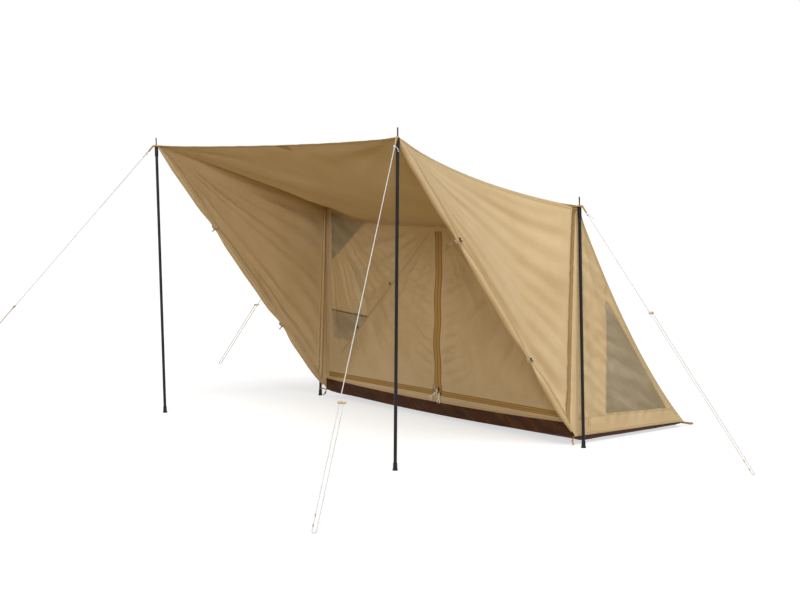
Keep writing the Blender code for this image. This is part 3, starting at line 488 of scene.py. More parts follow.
def add_node(tree: Tree, kind: str, values: dict | None = None, output: int | str = 0) -> Socket:
    """Add a shader node and fill it in.

    Args:
        tree: The node tree that gets the node.
        kind: The node's type, without the prefix that all shader nodes share.
        values: What fill() gives it.
        output: The output that is wanted.

    Returns:
        The node's output socket.
    """
    node = tree.nodes.new("ShaderNode" + kind)
    fill(node, values or {})
    return node.outputs[output]


@dataclass(frozen=True)
class Finish:
    """What every finish has: a name, a record slot and a surface."""

    name: str
    slot: str

    def build(self) -> bpy.types.Material:
        """Make the material, its shader filled in by surface()."""
        material = bpy.data.materials.new(self.name)
        material.use_nodes = True
        tree = material.node_tree
        fill(tree.nodes["Principled BSDF"], self.surface(tree))
        return material

    def surface(self, tree: Tree) -> dict:
        """The shader's plain values, and the sockets that feed it."""
        raise NotImplementedError

    @staticmethod
    def weave(tree: Tree, pitch: float) -> tuple[Socket, Socket]:
        """A plain weave over the cloth's own metres.

        Args:
            tree: The node tree.
            pitch: Distance between threads in metres.

        Returns:
            The weave's height, 0 to 1, and the coordinates it used.
        """
        place = add_node(tree, "TexCoord", output="UV")
        warp, weft = (add_node(tree, "TexWave", {
            "bands_direction": direction, "wave_profile": "SIN", "Scale": WAVE_SCALE / pitch,
            "Distortion": 0.6, "Detail": 1.0, "Detail Scale": 1.5, "Vector": place}, "Fac")
            for direction in "XY")
        return add_node(tree, "Math", {"operation": "MAXIMUM", 0: warp, 1: weft}), place


@dataclass(frozen=True)
class CottonCanvas(Finish):
    """Sand cotton and polyester canvas, plain woven and proofed: matt, with slubs in the yarn."""

    name: str = "cotton_canvas"
    slot: str = "canvas"
    light: str = "D0BA94"
    middle: str = "CAB38B"
    dark: str = "C2AA80"
    # Threads are 0.5 mm apart; they are drawn 2 mm apart, the finest that still shows close up.
    thread: float = 2 * MM
    slub: float = 18 * MM
    stitches: bool = False
    stitch: float = 3.5 * MM
    row_offset: float = 4 * MM

    def surface(self, tree: Tree) -> dict:
        """The canvas: slubbed yarn, faint blotches of proofing, and the weave's relief."""
        height, place = self.weave(tree, self.thread)
        blotch = add_node(tree, "TexNoise", {"Scale": 3.2, "Detail": 4.0, "Roughness": 0.55, "Vector": place})
        # The weave's height lightens the thread tops a little: painted shade between the threads.
        shares = [(height, 0.06), (blotch, 0.70)]
        for scale in ((1 / self.slub, 0.12 / self.slub, 1), (0.12 / self.slub, 1 / self.slub, 1)):
            squeezed = add_node(tree, "Mapping", {"Scale": scale, "Vector": place})
            streak = add_node(tree, "TexNoise", {"Scale": 1.0, "Detail": 3.0, "Roughness": 0.6,
                                                 "Vector": squeezed})
            shares.append((streak, 0.15))
        tone: Socket | float = 0.0
        for part, share in shares:
            tone = add_node(tree, "Math", {"operation": "MULTIPLY_ADD", 0: part, 1: share, 2: tone})
        colour = add_node(tree, "ValToRGB", {
            "stops": ((0.34, self.dark), (0.5, self.middle), (0.66, self.light)), "Fac": tone})
        relief = height
        if self.stitches:
            colour, relief = self.sew(tree, place, colour, height)
        return {"Base Color": colour, "Sheen Weight": 0.10, "Sheen Roughness": 0.6, "IOR": 1.45,
                "Specular IOR Level": 0.25,
                "Roughness": add_node(tree, "MapRange", {"To Min": 0.82, "To Max": 0.95, "Value": height}),
                "Normal": add_node(tree, "Bump", {"Strength": 0.35, "Distance": 0.4 * MM, "Height": relief})}

    def sew(self, tree: Tree, place: Socket, cloth: Socket, weave: Socket) -> tuple[Socket, Socket]:
        """Two stitched rows along a seam strip, whose V runs across it in metres from its middle.

        Args:
            tree: The node tree.
            place: The strip's coordinates.
            cloth: The cloth's colour.
            weave: The cloth's relief.

        Returns:
            The colour, darkened along each row as painted shade in its stitch groove, and the relief with the stitches
            in them.
        """
        along, across = (add_node(tree, "SeparateXYZ", {"Vector": place}, axis) for axis in "XY")
        across = add_node(tree, "Math", {"operation": "ABSOLUTE", 0: across})
        away = add_node(tree, "Math", {"operation": "SUBTRACT", 0: across, 1: self.row_offset})
        away = add_node(tree, "Math", {"operation": "ABSOLUTE", 0: away})
        groove = add_node(tree, "MapRange", {"interpolation_type": "SMOOTHSTEP", "From Min": 0.6 * MM,
                                             "From Max": 1.8 * MM, "Value": away})
        stitch = add_node(tree, "Math", {"operation": "DIVIDE", 0: along, 1: self.stitch})
        stitch = add_node(tree, "Math", {"operation": "FRACT", 0: stitch})
        stitch = add_node(tree, "Math", {"operation": "LESS_THAN", 0: stitch, 1: 0.72})
        thread = add_node(tree, "Math", {"operation": "LESS_THAN", 0: away, 1: 0.5 * MM})
        thread = add_node(tree, "Math", {"operation": "MULTIPLY", 0: stitch, 1: thread})
        # Painted shade: the cloth turns darker brown towards each stitched row, where the groove lies.
        groove_shade = add_node(tree, "ValToRGB", {"stops": ((0.0, "8E7448"), (1.0, self.light)), "Fac": groove})
        colour = add_node(tree, "Mix", {"data_type": "RGBA", 0: groove, 6: groove_shade, 7: cloth}, 2)
        colour = add_node(tree, "Mix", {"data_type": "RGBA", 0: thread, 6: colour, 7: linear("A98B5A")}, 2)
        return colour, add_node(tree, "Math", {"operation": "MULTIPLY_ADD", 0: weave, 1: 0.3, 2: groove})


@dataclass(frozen=True)
class CottonWebbing(Finish):
    """Woven webbing tape in tan cotton: ribbed along its length, a little darker than the canvas."""

    name: str = "cotton_webbing"
    slot: str = "canvas"
    light: str = "B89B68"
    dark: str = "8F7449"
    rib: float = 2.2 * MM

    def surface(self, tree: Tree) -> dict:
        """The webbing: its ribs as relief, and as tone that darkens between them as painted shade."""
        height, _ = self.weave(tree, self.rib)
        # Painted shade: the dark colour lies in the lows between the ribs, the light one on their tops.
        return {"Base Color": add_node(tree, "ValToRGB", {"stops": ((0.2, self.dark), (0.8, self.light)),
                                                          "Fac": height}),
                "Roughness": 0.85, "Specular IOR Level": 0.3,
                "Normal": add_node(tree, "Bump", {"Strength": 0.5, "Distance": 0.5 * MM, "Height": height})}


@dataclass(frozen=True)
class CoatedPolyester(Finish):
    """Dark brown polyester floor cloth with a polyurethane coat: a low sheen and fine creases."""

    name: str = "coated_polyester"
    slot: str = "sheeting"
    crease: float = 45 * MM
    ripstop: float = 5 * MM

    def surface(self, tree: Tree) -> dict:
        """The floor cloth: crease lines, ripstop threads and a soft gloss."""
        height, place = self.weave(tree, self.ripstop)
        turned = add_node(tree, "Mapping", {"Rotation": (0, 0, -0.55), "Vector": place})
        drawn = add_node(tree, "Mapping", {"Scale": (0.25, 1.0, 1.0), "Vector": turned})
        crumple = add_node(tree, "TexNoise", {"Scale": 1 / self.crease, "Detail": 4.0, "Roughness": 0.5,
                                              "Distortion": 0.6, "Vector": drawn})
        relief = add_node(tree, "Math", {"operation": "MULTIPLY_ADD", 0: height, 1: 0.05, 2: crumple})
        # Painted shade and highlight: the tone follows the creases' height, darker in their hollows and lighter on
        # their ridges.
        stops = ((0.38, "3A1F0D"), (0.55, "472812"), (0.7, "5C3A1C"))
        return {"Base Color": add_node(tree, "ValToRGB", {"stops": stops, "Fac": crumple}),
                "IOR": 1.5, "Specular IOR Level": 0.14,
                "Roughness": add_node(tree, "MapRange", {"To Min": 0.60, "To Max": 0.78, "Value": crumple}),
                "Normal": add_node(tree, "Bump", {"Strength": 0.6, "Distance": 4 * MM, "Height": relief})}


@dataclass(frozen=True)
class PolyesterNet(Finish):
    """Fine knitted insect netting: grey-brown threads with holes one can see through."""

    name: str = "polyester_net"
    slot: str = "netting"
    # The real net has 0.7 mm holes; they are drawn 3 mm apart so that the mesh shows close up.
    pitch: float = 3 * MM
    hole: float = 0.36

    def surface(self, tree: Tree) -> dict:
        """The net: threads on a square grid, with clear holes."""
        place = add_node(tree, "TexCoord", output="UV")
        inside = []
        for axis in "XY":
            cell = add_node(tree, "SeparateXYZ", {"Vector": place}, axis)
            cell = add_node(tree, "Math", {"operation": "DIVIDE", 0: cell, 1: self.pitch})
            cell = add_node(tree, "Math", {"operation": "FRACT", 0: cell})
            cell = add_node(tree, "Math", {"operation": "SUBTRACT", 0: cell, 1: 0.5})
            inside.append(add_node(tree, "Math", {"operation": "ABSOLUTE", 0: cell}))
        edge = add_node(tree, "Math", {"operation": "MAXIMUM", 0: inside[0], 1: inside[1]})
        turned = add_node(tree, "Mapping", {"Rotation": (0, 0, 0.45), "Vector": place})
        slanted = add_node(tree, "Mapping", {"Scale": (3, 17, 1), "Vector": turned})
        cloud = add_node(tree, "TexNoise", {"Scale": 1.0, "Detail": 3.0, "Distortion": 0.5,
                                            "Vector": slanted})
        stops = ((0.3, "B6A78B"), (0.5, "C3B599"), (0.68, "D6CBB2"))
        return {"Base Color": add_node(tree, "ValToRGB", {"stops": stops, "Fac": cloud}),
                "Roughness": 0.8, "Specular IOR Level": 0.2,
                "Alpha": add_node(tree, "Math", {"operation": "GREATER_THAN", 0: edge, 1: self.hole}),
                "Normal": add_node(tree, "Bump", {"Strength": 0.3, "Distance": 0.3 * MM, "Height": edge})}


@dataclass(frozen=True)
class ZipTape(Finish):
    """Woven nylon zip tape, olive brown, with a moulded coil along the middle and sewn edges."""

    name: str = "zip_tape"
    slot: str = "zip_tape"
    tape: str = "B08843"
    edge: str = "9C7436"
    coil: str = "7A5A26"
    tooth: float = 2.4 * MM
    coil_half: float = 3 * MM
    border: float = 26 * MM
    border_half: float = 6.5 * MM
    groove: float = 3.2 * MM

    def surface(self, tree: Tree) -> dict:
        """The tape: V runs across from the coil's middle, in metres."""
        place = add_node(tree, "TexCoord", output="UV")
        along, across = (add_node(tree, "SeparateXYZ", {"Vector": place}, axis) for axis in "XY")
        across = add_node(tree, "Math", {"operation": "ABSOLUTE", 0: across})
        fine = add_node(tree, "TexNoise", {"Scale": 300.0, "Detail": 2.0, "Vector": place})
        base = add_node(tree, "ValToRGB", {"stops": ((0.3, self.edge), (0.7, self.tape)), "Fac": fine})
        tape = add_node(tree, "Mix", {"data_type": "RGBA", 0: fine, 6: base, 7: linear(self.tape)}, 2)
        lines = []
        for middle, half in ((0.0, self.groove), (self.border, self.border_half)):
            away = add_node(tree, "Math", {"operation": "SUBTRACT", 0: across, 1: middle})
            away = add_node(tree, "Math", {"operation": "ABSOLUTE", 0: away})
            lines.append(add_node(tree, "MapRange", {"interpolation_type": "SMOOTHSTEP", "From Min": half,
                                                     "From Max": half * 0.3, "Value": away}))
        bands = add_node(tree, "Math", {"operation": "MAXIMUM", 0: lines[0], 1: lines[1]})
        colour = add_node(tree, "Mix", {"data_type": "RGBA", 0: bands, 6: tape, 7: linear(self.coil)}, 2)
        teeth = add_node(tree, "Math", {"operation": "DIVIDE", 0: along, 1: self.tooth})
        teeth = add_node(tree, "Math", {"operation": "FRACT", 0: teeth})
        on_coil = add_node(tree, "Math", {"operation": "LESS_THAN", 0: across, 1: self.coil_half})
        teeth = add_node(tree, "Math", {"operation": "MULTIPLY", 0: teeth, 1: on_coil})
        relief = add_node(tree, "Math", {"operation": "SUBTRACT", 0: teeth, 1: bands})
        return {"Base Color": colour, "Roughness": 0.7,
                "Normal": add_node(tree, "Bump", {"Strength": 0.6, "Distance": 0.8 * MM, "Height": relief})}


@dataclass(frozen=True)
class BraidedCord(Finish):
    """Off-white braided polyester cord: strands that cross on the slant, slightly shiny."""

    name: str = "braided_cord"
    slot: str = "rope"
    light: str = "DEDEDE"
    dark: str = "98999C"
    strand: float = 3 * MM

    def surface(self, tree: Tree) -> dict:
        """The braid over the cord's own metres, U along it and V round it; its tone darkens between the strands as
        painted shade.
        """
        place = add_node(tree, "TexCoord", output="UV")
        strands = []
        for turn in (pi / 4, -pi / 4):
            slanted = add_node(tree, "Mapping", {"Rotation": (0, 0, turn), "Vector": place})
            strands.append(add_node(tree, "TexWave", {
                "bands_direction": "X", "Scale": WAVE_SCALE / self.strand, "Vector": slanted}, "Fac"))
        height = add_node(tree, "Math", {"operation": "MAXIMUM", 0: strands[0], 1: strands[1]})
        # Painted shade: the dark colour goes where the strands dip, the light one on their crowns.
        return {"Base Color": add_node(tree, "ValToRGB", {"stops": ((0.3, self.dark), (0.8, self.light)),
                                                          "Fac": height}),
                "Roughness": 0.6, "Sheen Weight": 0.2,
                "Normal": add_node(tree, "Bump", {"Strength": 0.5, "Distance": 0.4 * MM, "Height": height})}


@dataclass(frozen=True)
class Mottled(Finish):
    """A hard finish whose tone, gloss and relief follow one pattern in the piece's own metres.

    Attributes:
        repeats: The pattern's repeats per metre along each axis.
        detail: The pattern's fineness.
        distortion: How much it swirls.
        stops: The tones, as places and colours.
        plain: The shader's plain values.
        gloss: Least and greatest roughness, where they follow the pattern.
        relief: The relief's strength and its depth in metres.
    """

    repeats: Triple = (1, 1, 1)
    detail: float = 4.0
    distortion: float = 0.0
    stops: Stops = ()
    plain: Plain = ()
    gloss: Pair | None = None
    relief: Pair | None = None

    def surface(self, tree: Tree) -> dict:
        """The pattern as tone, and as gloss and relief where the finish has them."""
        place = add_node(tree, "TexCoord", output="Object")
        place = add_node(tree, "Mapping", {"Scale": self.repeats, "Vector": place})
        mottle = add_node(tree, "TexNoise", {"Scale": 1.0, "Detail": self.detail,
                                             "Distortion": self.distortion, "Vector": place})
        values = {"Base Color": add_node(tree, "ValToRGB", {"stops": self.stops, "Fac": mottle})}
        if self.gloss:
            low, high = self.gloss
            values["Roughness"] = add_node(tree, "MapRange", {"To Min": low, "To Max": high, "Value": mottle})
        if self.relief:
            strength, depth = self.relief
            values["Normal"] = add_node(tree, "Bump", {"Strength": strength, "Distance": depth,
                                                       "Height": mottle})
        return {**values, **dict(self.plain)}


@dataclass(frozen=True)
class EnamelledSteel(Mottled):
    """Black stove-enamelled steel tube: a satin coat with faint rub marks along the pole."""

    name: str = "enamelled_steel"
    slot: str = "pole_steel"
    # Rub marks are about 17 mm wide and 250 mm long.
    repeats: Triple = (60, 60, 4)
    detail: float = 5.0
    stops: Stops = ((0.35, "0D0E10"), (0.75, "1B1C1E"))
    plain: Plain = (("IOR", 1.5), ("Specular IOR Level", 0.22))
    gloss: Pair | None = (0.24, 0.42)


@dataclass(frozen=True)
class Rubber(Mottled):
    """Moulded black rubber pole foot: dull, dusty in its lows."""

    name: str = "rubber_foot"
    slot: str = "pole_tip"
    # Dust lies in spots about 7 mm wide.
    repeats: Triple = (140, 140, 140)
    stops: Stops = ((0.45, "101114"), (0.8, "2C2B29"))
    plain: Plain = (("Roughness", 0.8), ("Specular IOR Level", 0.3))
    relief: Pair | None = (0.3, 0.3 * MM)


@dataclass(frozen=True)
class OiledBeech(Mottled):
    """Pale beech, sanded and oiled: short flecks and fine lines along the grain."""

    name: str = "oiled_beech"
    slot: str = "adjuster_wood"
    # Grain is 1 mm wide and its flecks about 6 mm long.
    repeats: Triple = (1000, 160, 1000)
    stops: Stops = ((0.3, "B59D78"), (0.7, "CDB894"))
    plain: Plain = (("Roughness", 0.5), ("Coat Weight", 0.1))
    relief: Pair | None = (0.2, 0.2 * MM)


@dataclass(frozen=True)
class MouldedHorn(Mottled):
    """Dark moulded toggle that looks like horn: smoky streaks under a low polish."""

    name: str = "moulded_horn"
    slot: str = "toggle_horn"
    # Streaks are about 5 mm wide.
    repeats: Triple = (220, 220, 220)
    detail: float = 3.0
    distortion: float = 1.0
    stops: Stops = ((0.35, "1F1813"), (0.75, "463629"))
    plain: Plain = (("Roughness", 0.35), ("IOR", 1.54))


@dataclass(frozen=True)
class AntiquedBrass(Mottled):
    """Die-cast zip slider in antiqued brass: brown in the lows, rubbed bright on its edges."""

    name: str = "antiqued_brass"
    slot: str = "slider_metal"
    # The brown skin is worn through in spots about 3 mm wide.
    repeats: Triple = (350, 350, 350)
    stops: Stops = ((0.35, "4A3A1E"), (0.7, "9B7E43"))
    plain: Plain = (("Metallic", 1.0), ("Roughness", 0.38))


CANVAS = CottonCanvas()
STITCHED = CottonCanvas(name="stitched_canvas", stitches=True)
# Canvas darkened to brown as painted shade: the shadowed folds of the felled seams. The patch under the canopy's hem
# uses it too.
SEAM_SHADE_CANVAS = CottonCanvas(name="felled_seam", light="AE8F5C", middle="A38350", dark="967746", stitches=True)
WEBBING = CottonWebbing()
NET = PolyesterNet()
HORN = MouldedHorn()
BROWN_CORD = BraidedCord(name="brown_cord", slot="canvas", light="8F7444", dark="5F4A26")


@dataclass
class Tailor:
    """Makes thin closed pieces of cloth, tape and cord, and puts them on their bodies."""

    materials: dict[str, bpy.types.Material] = field(default_factory=dict)
    seam_thickness: float = 0.8 * MM

    def material(self, finish: Finish) -> bpy.types.Material:
        """The material of a finish, made once."""
        if finish.name not in self.materials:
            self.materials[finish.name] = finish.build()
        return self.materials[finish.name]

    def piece(self, name: str, points: Sequence[Sequence[float]], faces: Sequence[Sequence[int]],
              finish: Finish, body: str = "root", uv: Sequence[Pair] | None = None,
              angle: float = 40.0, replaces: Sequence[str] = ()) -> Object:
        """Make one mesh piece, smooth, with its finish, riding on its body.

        Args:
            name: The piece's name.
            points: Its vertices in the tent's frame.
            faces: Its faces as vertex numbers.
            finish: What it is made of.
            body: The body it rides on.
            uv: Coordinates in metres along the cloth, one per vertex.
            angle: Edges sharper than this many degrees stay sharp.
            replaces: The model's nodes that it stands for.

        Returns:
            The new object.
        """
        mesh = bpy.data.meshes.new(name)
        mesh.from_pydata([tuple(p) for p in points], [], [tuple(f) for f in faces])
        mesh.validate()
        if uv is not None:
            layer = mesh.uv_layers.new(name="cloth")
            corners = np.zeros(len(mesh.loops), np.int32)
            mesh.loops.foreach_get("vertex_index", corners)
            layer.data.foreach_set("uv", np.asarray(uv, np.float32)[corners].ravel())
        mesh.shade_smooth()
        mesh.set_sharp_from_angle(angle=radians(angle))
        mesh.materials.append(self.material(finish))
        made = bpy.data.objects.new(name, mesh)
        bpy.context.scene.collection.objects.link(made)
        if body:
            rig.ride(made, body)
        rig.slot(made, finish.slot)
        if replaces:
            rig.replaces(made, *replaces)
        LOG.info("%s: %d faces on %s", name, len(mesh.polygons), body)
        return made

    def grid(self, name: str, rows: np.ndarray, thickness: float, finish: Finish,
             **options: object) -> Object:
        """Make a closed sheet about a grid of points.

        Args:
            name: The piece's name.
            rows: Points as an array of rows, columns and xyz.
            thickness: The sheet's thickness.
            finish: What it is made of.
            options: Passed on to piece().

        Returns:
            The new object.
        """
        n_rows, n_cols = rows.shape[:2]
        normal = np.cross(np.gradient(rows, axis=1), np.gradient(rows, axis=0))
        normal /= np.linalg.norm(normal, axis=2, keepdims=True) + 1e-12
        u = np.zeros((n_rows, n_cols))
        v = np.zeros((n_rows, n_cols))
        u[:, 1:] = np.cumsum(np.linalg.norm(np.diff(rows, axis=1), axis=2), axis=1)
        u -= u[:, n_cols // 2:n_cols // 2 + 1]
        v[1:] = np.cumsum(np.linalg.norm(np.diff(rows, axis=0), axis=2), axis=0)
        points = np.concatenate([(rows + normal * thickness / 2).reshape(-1, 3),
                                 (rows - normal * thickness / 2).reshape(-1, 3)])
        flat = np.stack([u, v], axis=2).reshape(-1, 2)
        index = np.arange(n_rows * n_cols).reshape(n_rows, n_cols)
        quads = np.stack([index[:-1, :-1], index[:-1, 1:], index[1:, 1:], index[1:, :-1]], axis=2)
        faces = quads.reshape(-1, 4).tolist()
        faces += (quads.reshape(-1, 4)[:, ::-1] + n_rows * n_cols).tolist()
        rim = np.concatenate([index[0, :], index[1:, -1], index[-1, -2::-1], index[-2:0:-1, 0]])
        faces += [(b, a, a + n_rows * n_cols, b + n_rows * n_cols)
                  for a, b in zip(rim, np.roll(rim, -1))]
        return self.piece(name, points, faces, finish, uv=np.concatenate([flat, flat]), **options)

    def panel(self, name: str, outline: Sequence[Pair], holes: Sequence[Sequence[Pair]],
              place: Surface, thickness: float, cell: float, finish: Finish,
              **options: object) -> Object:
        """Make a closed sheet cut to an outline with holes, laid on a surface.

        Args:
            name: The piece's name.
            outline: The cut's corners in the surface's own metres.
            holes: The corners of its holes.
            place: The surface, from its metres to the tent's frame.
            thickness: The sheet's thickness.
            cell: The fineness of its mesh.
            finish: What it is made of.
            options: Passed on to piece().

        Returns:
            The new object.
        """
        flat, faces = self.cut(outline, holes, cell)
        points, normals = [], []
        step = 2 * MM
        for a, b in flat:
            here = place(a, b)
            normal = (place(a + step, b) - here).cross(place(a, b + step) - here).normalized()
            points.append(here)
            normals.append(normal)
        count = len(flat)
        both = [p + n * thickness / 2 for p, n in zip(points, normals)]
        both += [p - n * thickness / 2 for p, n in zip(points, normals)]
        borders: dict[tuple[int, int], int] = {}
        for face in faces:
            for a, b in zip(face, face[1:] + face[:1]):
                borders[(a, b)] = borders.get((a, b), 0) + 1
        solid = [tuple(f) for f in faces] + [tuple(i + count for i in reversed(f)) for f in faces]
        solid += [(b, a, a + count, b + count) for a, b in borders if (b, a) not in borders]
        return self.piece(name, both, solid, finish, uv=list(flat) + list(flat), **options)

    @staticmethod
    def cut(outline: Sequence[Pair], holes: Sequence[Sequence[Pair]],
            cell: float) -> tuple[list[Pair], list[list[int]]]:
        """Fill an outline with an even triangle mesh.

        Args:
            outline: The outline's corners.
            holes: The corners of its holes.
            cell: The size of the triangles.

        Returns:
            The points and the triangles.
        """
        points: list[Vector] = []
        edges: list[tuple[int, int]] = []
        rings = []
        for loop in (outline, *holes):
            ring: list[Vector] = []
            for a, b in zip(loop, [*loop[1:], loop[0]]):
                a, b = Vector(a), Vector(b)
                steps = max(1, round((b - a).length / cell))
                ring += [a.lerp(b, i / steps) for i in range(steps)]
            first = len(points)
            points += ring
            edges += [(first + i, first + (i + 1) % len(ring)) for i in range(len(ring))]
            rings.append([Vector(p) for p in loop])

        def inside(p: Vector, loop: list[Vector]) -> bool:
            """Whether a point lies within a loop."""
            crossings = 0
            for a, b in zip(loop, loop[1:] + loop[:1]):
                if (a.y > p.y) != (b.y > p.y) and p.x < (b.x - a.x) * (p.y - a.y) / (b.y - a.y) + a.x:
                    crossings += 1
            return crossings % 2 == 1

        def near(p: Vector) -> bool:
            """Whether a point is too close to a border for a good triangle."""
            for loop in rings:
                for a, b in zip(loop, loop[1:] + loop[:1]):
                    run = b - a
                    share = clamp((p - a).dot(run) / max(run.length_squared, 1e-12))
                    if (p - a - run * share).length < cell * 0.55:
                        return True
            return False

        low_x, high_x = min(p[0] for p in outline), max(p[0] for p in outline)
        low_y, high_y = min(p[1] for p in outline), max(p[1] for p in outline)
        row_step = cell * 0.866
        for j in range(int((high_y - low_y) / row_step) + 1):
            for i in range(int((high_x - low_x) / cell) + 2):
                p = Vector((low_x + (i + 0.5 * (j % 2)) * cell, low_y + j * row_step))
                if inside(p, rings[0]) and not any(inside(p, hole) for hole in rings[1:]) and not near(p):
                    points.append(p)
        found = geometry.delaunay_2d_cdt(points, edges, [], 0, 1e-7)
        verts, faces = found[0], []
        for face in found[2]:
            middle = sum((verts[i] for i in face), Vector((0, 0))) / len(face)
            if inside(middle, rings[0]) and not any(inside(middle, hole) for hole in rings[1:]):
                a, b, c = (verts[i] for i in face[:3])
                turn = (b - a).cross(c - a)
                faces.append(list(face) if turn > 0 else list(reversed(face)))
        return [(v.x, v.y) for v in verts], faces

    def strip(self, name: str, line: Line, normals: Line, width: float, thickness: float,
              finish: Finish) -> Object:
        """Make a flat tape with rounded edges along a line on a surface.

        Args:
            name: The piece's name.
            line: The tape's middle line.
            normals: The surface's direction at each point.
            width: The tape's width.
            thickness: The tape's thickness.
            finish: What it is made of.

        Returns:
            The new object.
        """
        points, faces, uv = self.strip_solid(line, normals, width, thickness)
        return self.piece(name, points, faces, finish, uv=uv)

    @staticmethod
    def strip_solid(line: Line, normals: Line, width: float, thickness: float) -> tuple[list, list, list]:
        """The closed solid of a flat tape: points, faces and coordinates in metres."""
        half, deep = width / 2, thickness / 2
        section = [(-half, 0), (-half + deep, deep), (-half / 2, deep), (0, deep), (half / 2, deep),
                   (half - deep, deep), (half, 0), (half - deep, -deep), (half / 2, -deep), (0, -deep),
                   (-half / 2, -deep), (-half + deep, -deep)]
        points, uv = [], []
        travelled = 0.0
        for i, (here, normal, run) in enumerate(zip(line, normals, runs_of(line))):
            across = run.cross(normal).normalized()
            up = across.cross(run).normalized()
            travelled += (here - line[max(i - 1, 0)]).length
            for a, b in section:
                points.append(here + across * a + up * b)
                uv.append((travelled, a))
        return points, ring_faces(len(line), len(section)), uv

    def seam(self, name: str, surface: Surface, path: Sequence[Pair], width: float, finish: Finish) -> None:
        """Lay a sewn hem or seam tape along a path of a cloth, on both its faces.

        Args:
            name: The piece's name.
            surface: The cloth's surface.
            path: The places that the tape's middle follows.
            width: The tape's width.
            finish: What it is made of.
        """
        points, faces, uv = [], [], []
        for side in (1, -1):
            normals = [normal_of(surface, a, b) * side for a, b in path]
            lift = CLOTH / 2 + self.seam_thickness * 0.3
            line = [surface(a, b) + n * lift for (a, b), n in zip(path, normals)]
            more, joined, places = self.strip_solid(line, normals, width, self.seam_thickness)
            faces += [tuple(i + len(points) for i in face) for face in joined]
            points += more
            uv += places
        self.piece(name, points, faces, finish, uv=uv)

    def cord(self, name: str, line: Line, radius: float | Sequence[float], finish: Finish, sides: int = 8,
             angle: float = 60.0, **options: object) -> Object:
        """Make a round cord along a line.

        Args:
            name: The piece's name.
            line: Its middle line.
            radius: Its radius, or one for each point of the line.
            finish: What it is made of.
            sides: The number of its sides.
            angle: Edges sharper than this many degrees stay sharp.
            options: Passed on to piece().

        Returns:
            The new object.
        """
        points, uv = [], []
        radii = [radius] * len(line) if isinstance(radius, float) else radius
        runs = runs_of(line)
        side = runs[0].orthogonal().normalized()
        travelled = 0.0
        for i, (here, run, size) in enumerate(zip(line, runs, radii)):
            side = (side - run * side.dot(run)).normalized()
            up = run.cross(side)
            travelled += (here - line[max(i - 1, 0)]).length
            for k in range(sides):
                turn = 2 * pi * k / sides
                points.append(here + (side * cos(turn) + up * sin(turn)) * size)
                uv.append((travelled, abs(k / sides - 0.5) * 4 * pi * size))
        return self.piece(name, points, ring_faces(len(line), sides), finish, uv=uv, angle=angle, **options)

    def knot(self, name: str, middle: Vector, axis: Vector, radius: float, cord_radius: float,
             finish: Finish, **options: object) -> Object:
        """Make a small overhand knot: three crossed turns of cord round an axis.

        Args:
            name: The piece's name.
            middle: The knot's middle.
            axis: The cord's direction through it.
            radius: The turns' radius.
            cord_radius: The cord's radius.
            finish: What it is made of.
            options: Passed on to piece().

        Returns:
            The new object.
        """
        run = axis.normalized()
        side = run.orthogonal().normalized()
        up = run.cross(side)
        line = []
        for turn in (2 * pi * i / 36 for i in range(37)):
            out = radius * (0.75 + 0.25 * cos(3 * turn))
            line.append(middle + side * out * cos(2 * turn) + up * out * sin(2 * turn)
                        + run * radius * 0.9 * sin(3 * turn))
        return self.cord(name, line, cord_radius, finish, **options)


def ring_faces(rings: int, size: int) -> list[tuple[int, ...]]:
    """The faces that join rings of points, with a cap at each end.

    Args:
        rings: The number of rings.
        size: The number of points in each.

    Returns:
        The faces as point numbers.
    """
    faces = [(i * size + k, i * size + (k + 1) % size, (i + 1) * size + (k + 1) % size, (i + 1) * size + k)
             for i in range(rings - 1) for k in range(size)]
    return [*faces, tuple(reversed(range(size))), tuple(range((rings - 1) * size, rings * size))]


def runs_of(line: Line) -> list[Vector]:
    """The direction of a line at each of its points."""
    last = len(line) - 1
    return [(line[min(i + 1, last)] - line[max(i - 1, 0)]).normalized() for i in range(last + 1)]


def smooth_line(corners: Line, count: int) -> list[Vector]:
    """A smooth line through given points (a Catmull-Rom spline).

    Args:
        corners: The points to pass through.
        count: The number of steps between two of them.

    Returns:
        The line's points.
    """
    ends = [corners[0] * 2 - corners[1], *corners, corners[-1] * 2 - corners[-2]]
    line = []
    for i in range(len(corners) - 1):
        a, b, c, d = ends[i:i + 4]
        for k in range(count):
            t = k / count
            line.append((b * 2 + (c - a) * t + (a * 2 - b * 5 + c * 4 - d) * t ** 2
                         + (b * 3 - a - c * 3 + d) * t ** 3) / 2)
    return [*line, corners[-1].copy()]


@dataclass(frozen=True)
class Fan:
    """Tension folds that fan out from a point where a cloth is held.

    Attributes:
        origin: The held point, in the cloth's own metres.
        folds: Folds per quarter turn.
        height: Their height in metres.
        reach: Where they have faded, in metres.
        seed: Picks their irregularity.
    """

    origin: Pair
    folds: float
    height: float
    reach: float
    seed: float

    def at(self, a: float, b: float) -> float:
        """The folds' height at a place of the cloth."""
        away = hypot(a - self.origin[0], b - self.origin[1])
        turn = atan2(b - self.origin[1], a - self.origin[0])
        phase = turn * self.folds * 4 + 1.5 * wander(away * 1.6, turn * 2.5, self.seed)
        wave = sin(phase) + 0.35 * sin(2.3 * phase + self.seed)
        strength = ease(away, 0.03, 0.30) * (1 - ease(away, self.reach * 0.35, self.reach))
        return self.height * wave * strength * (0.65 + 0.5 * wander(turn * 4, away, self.seed + 7))


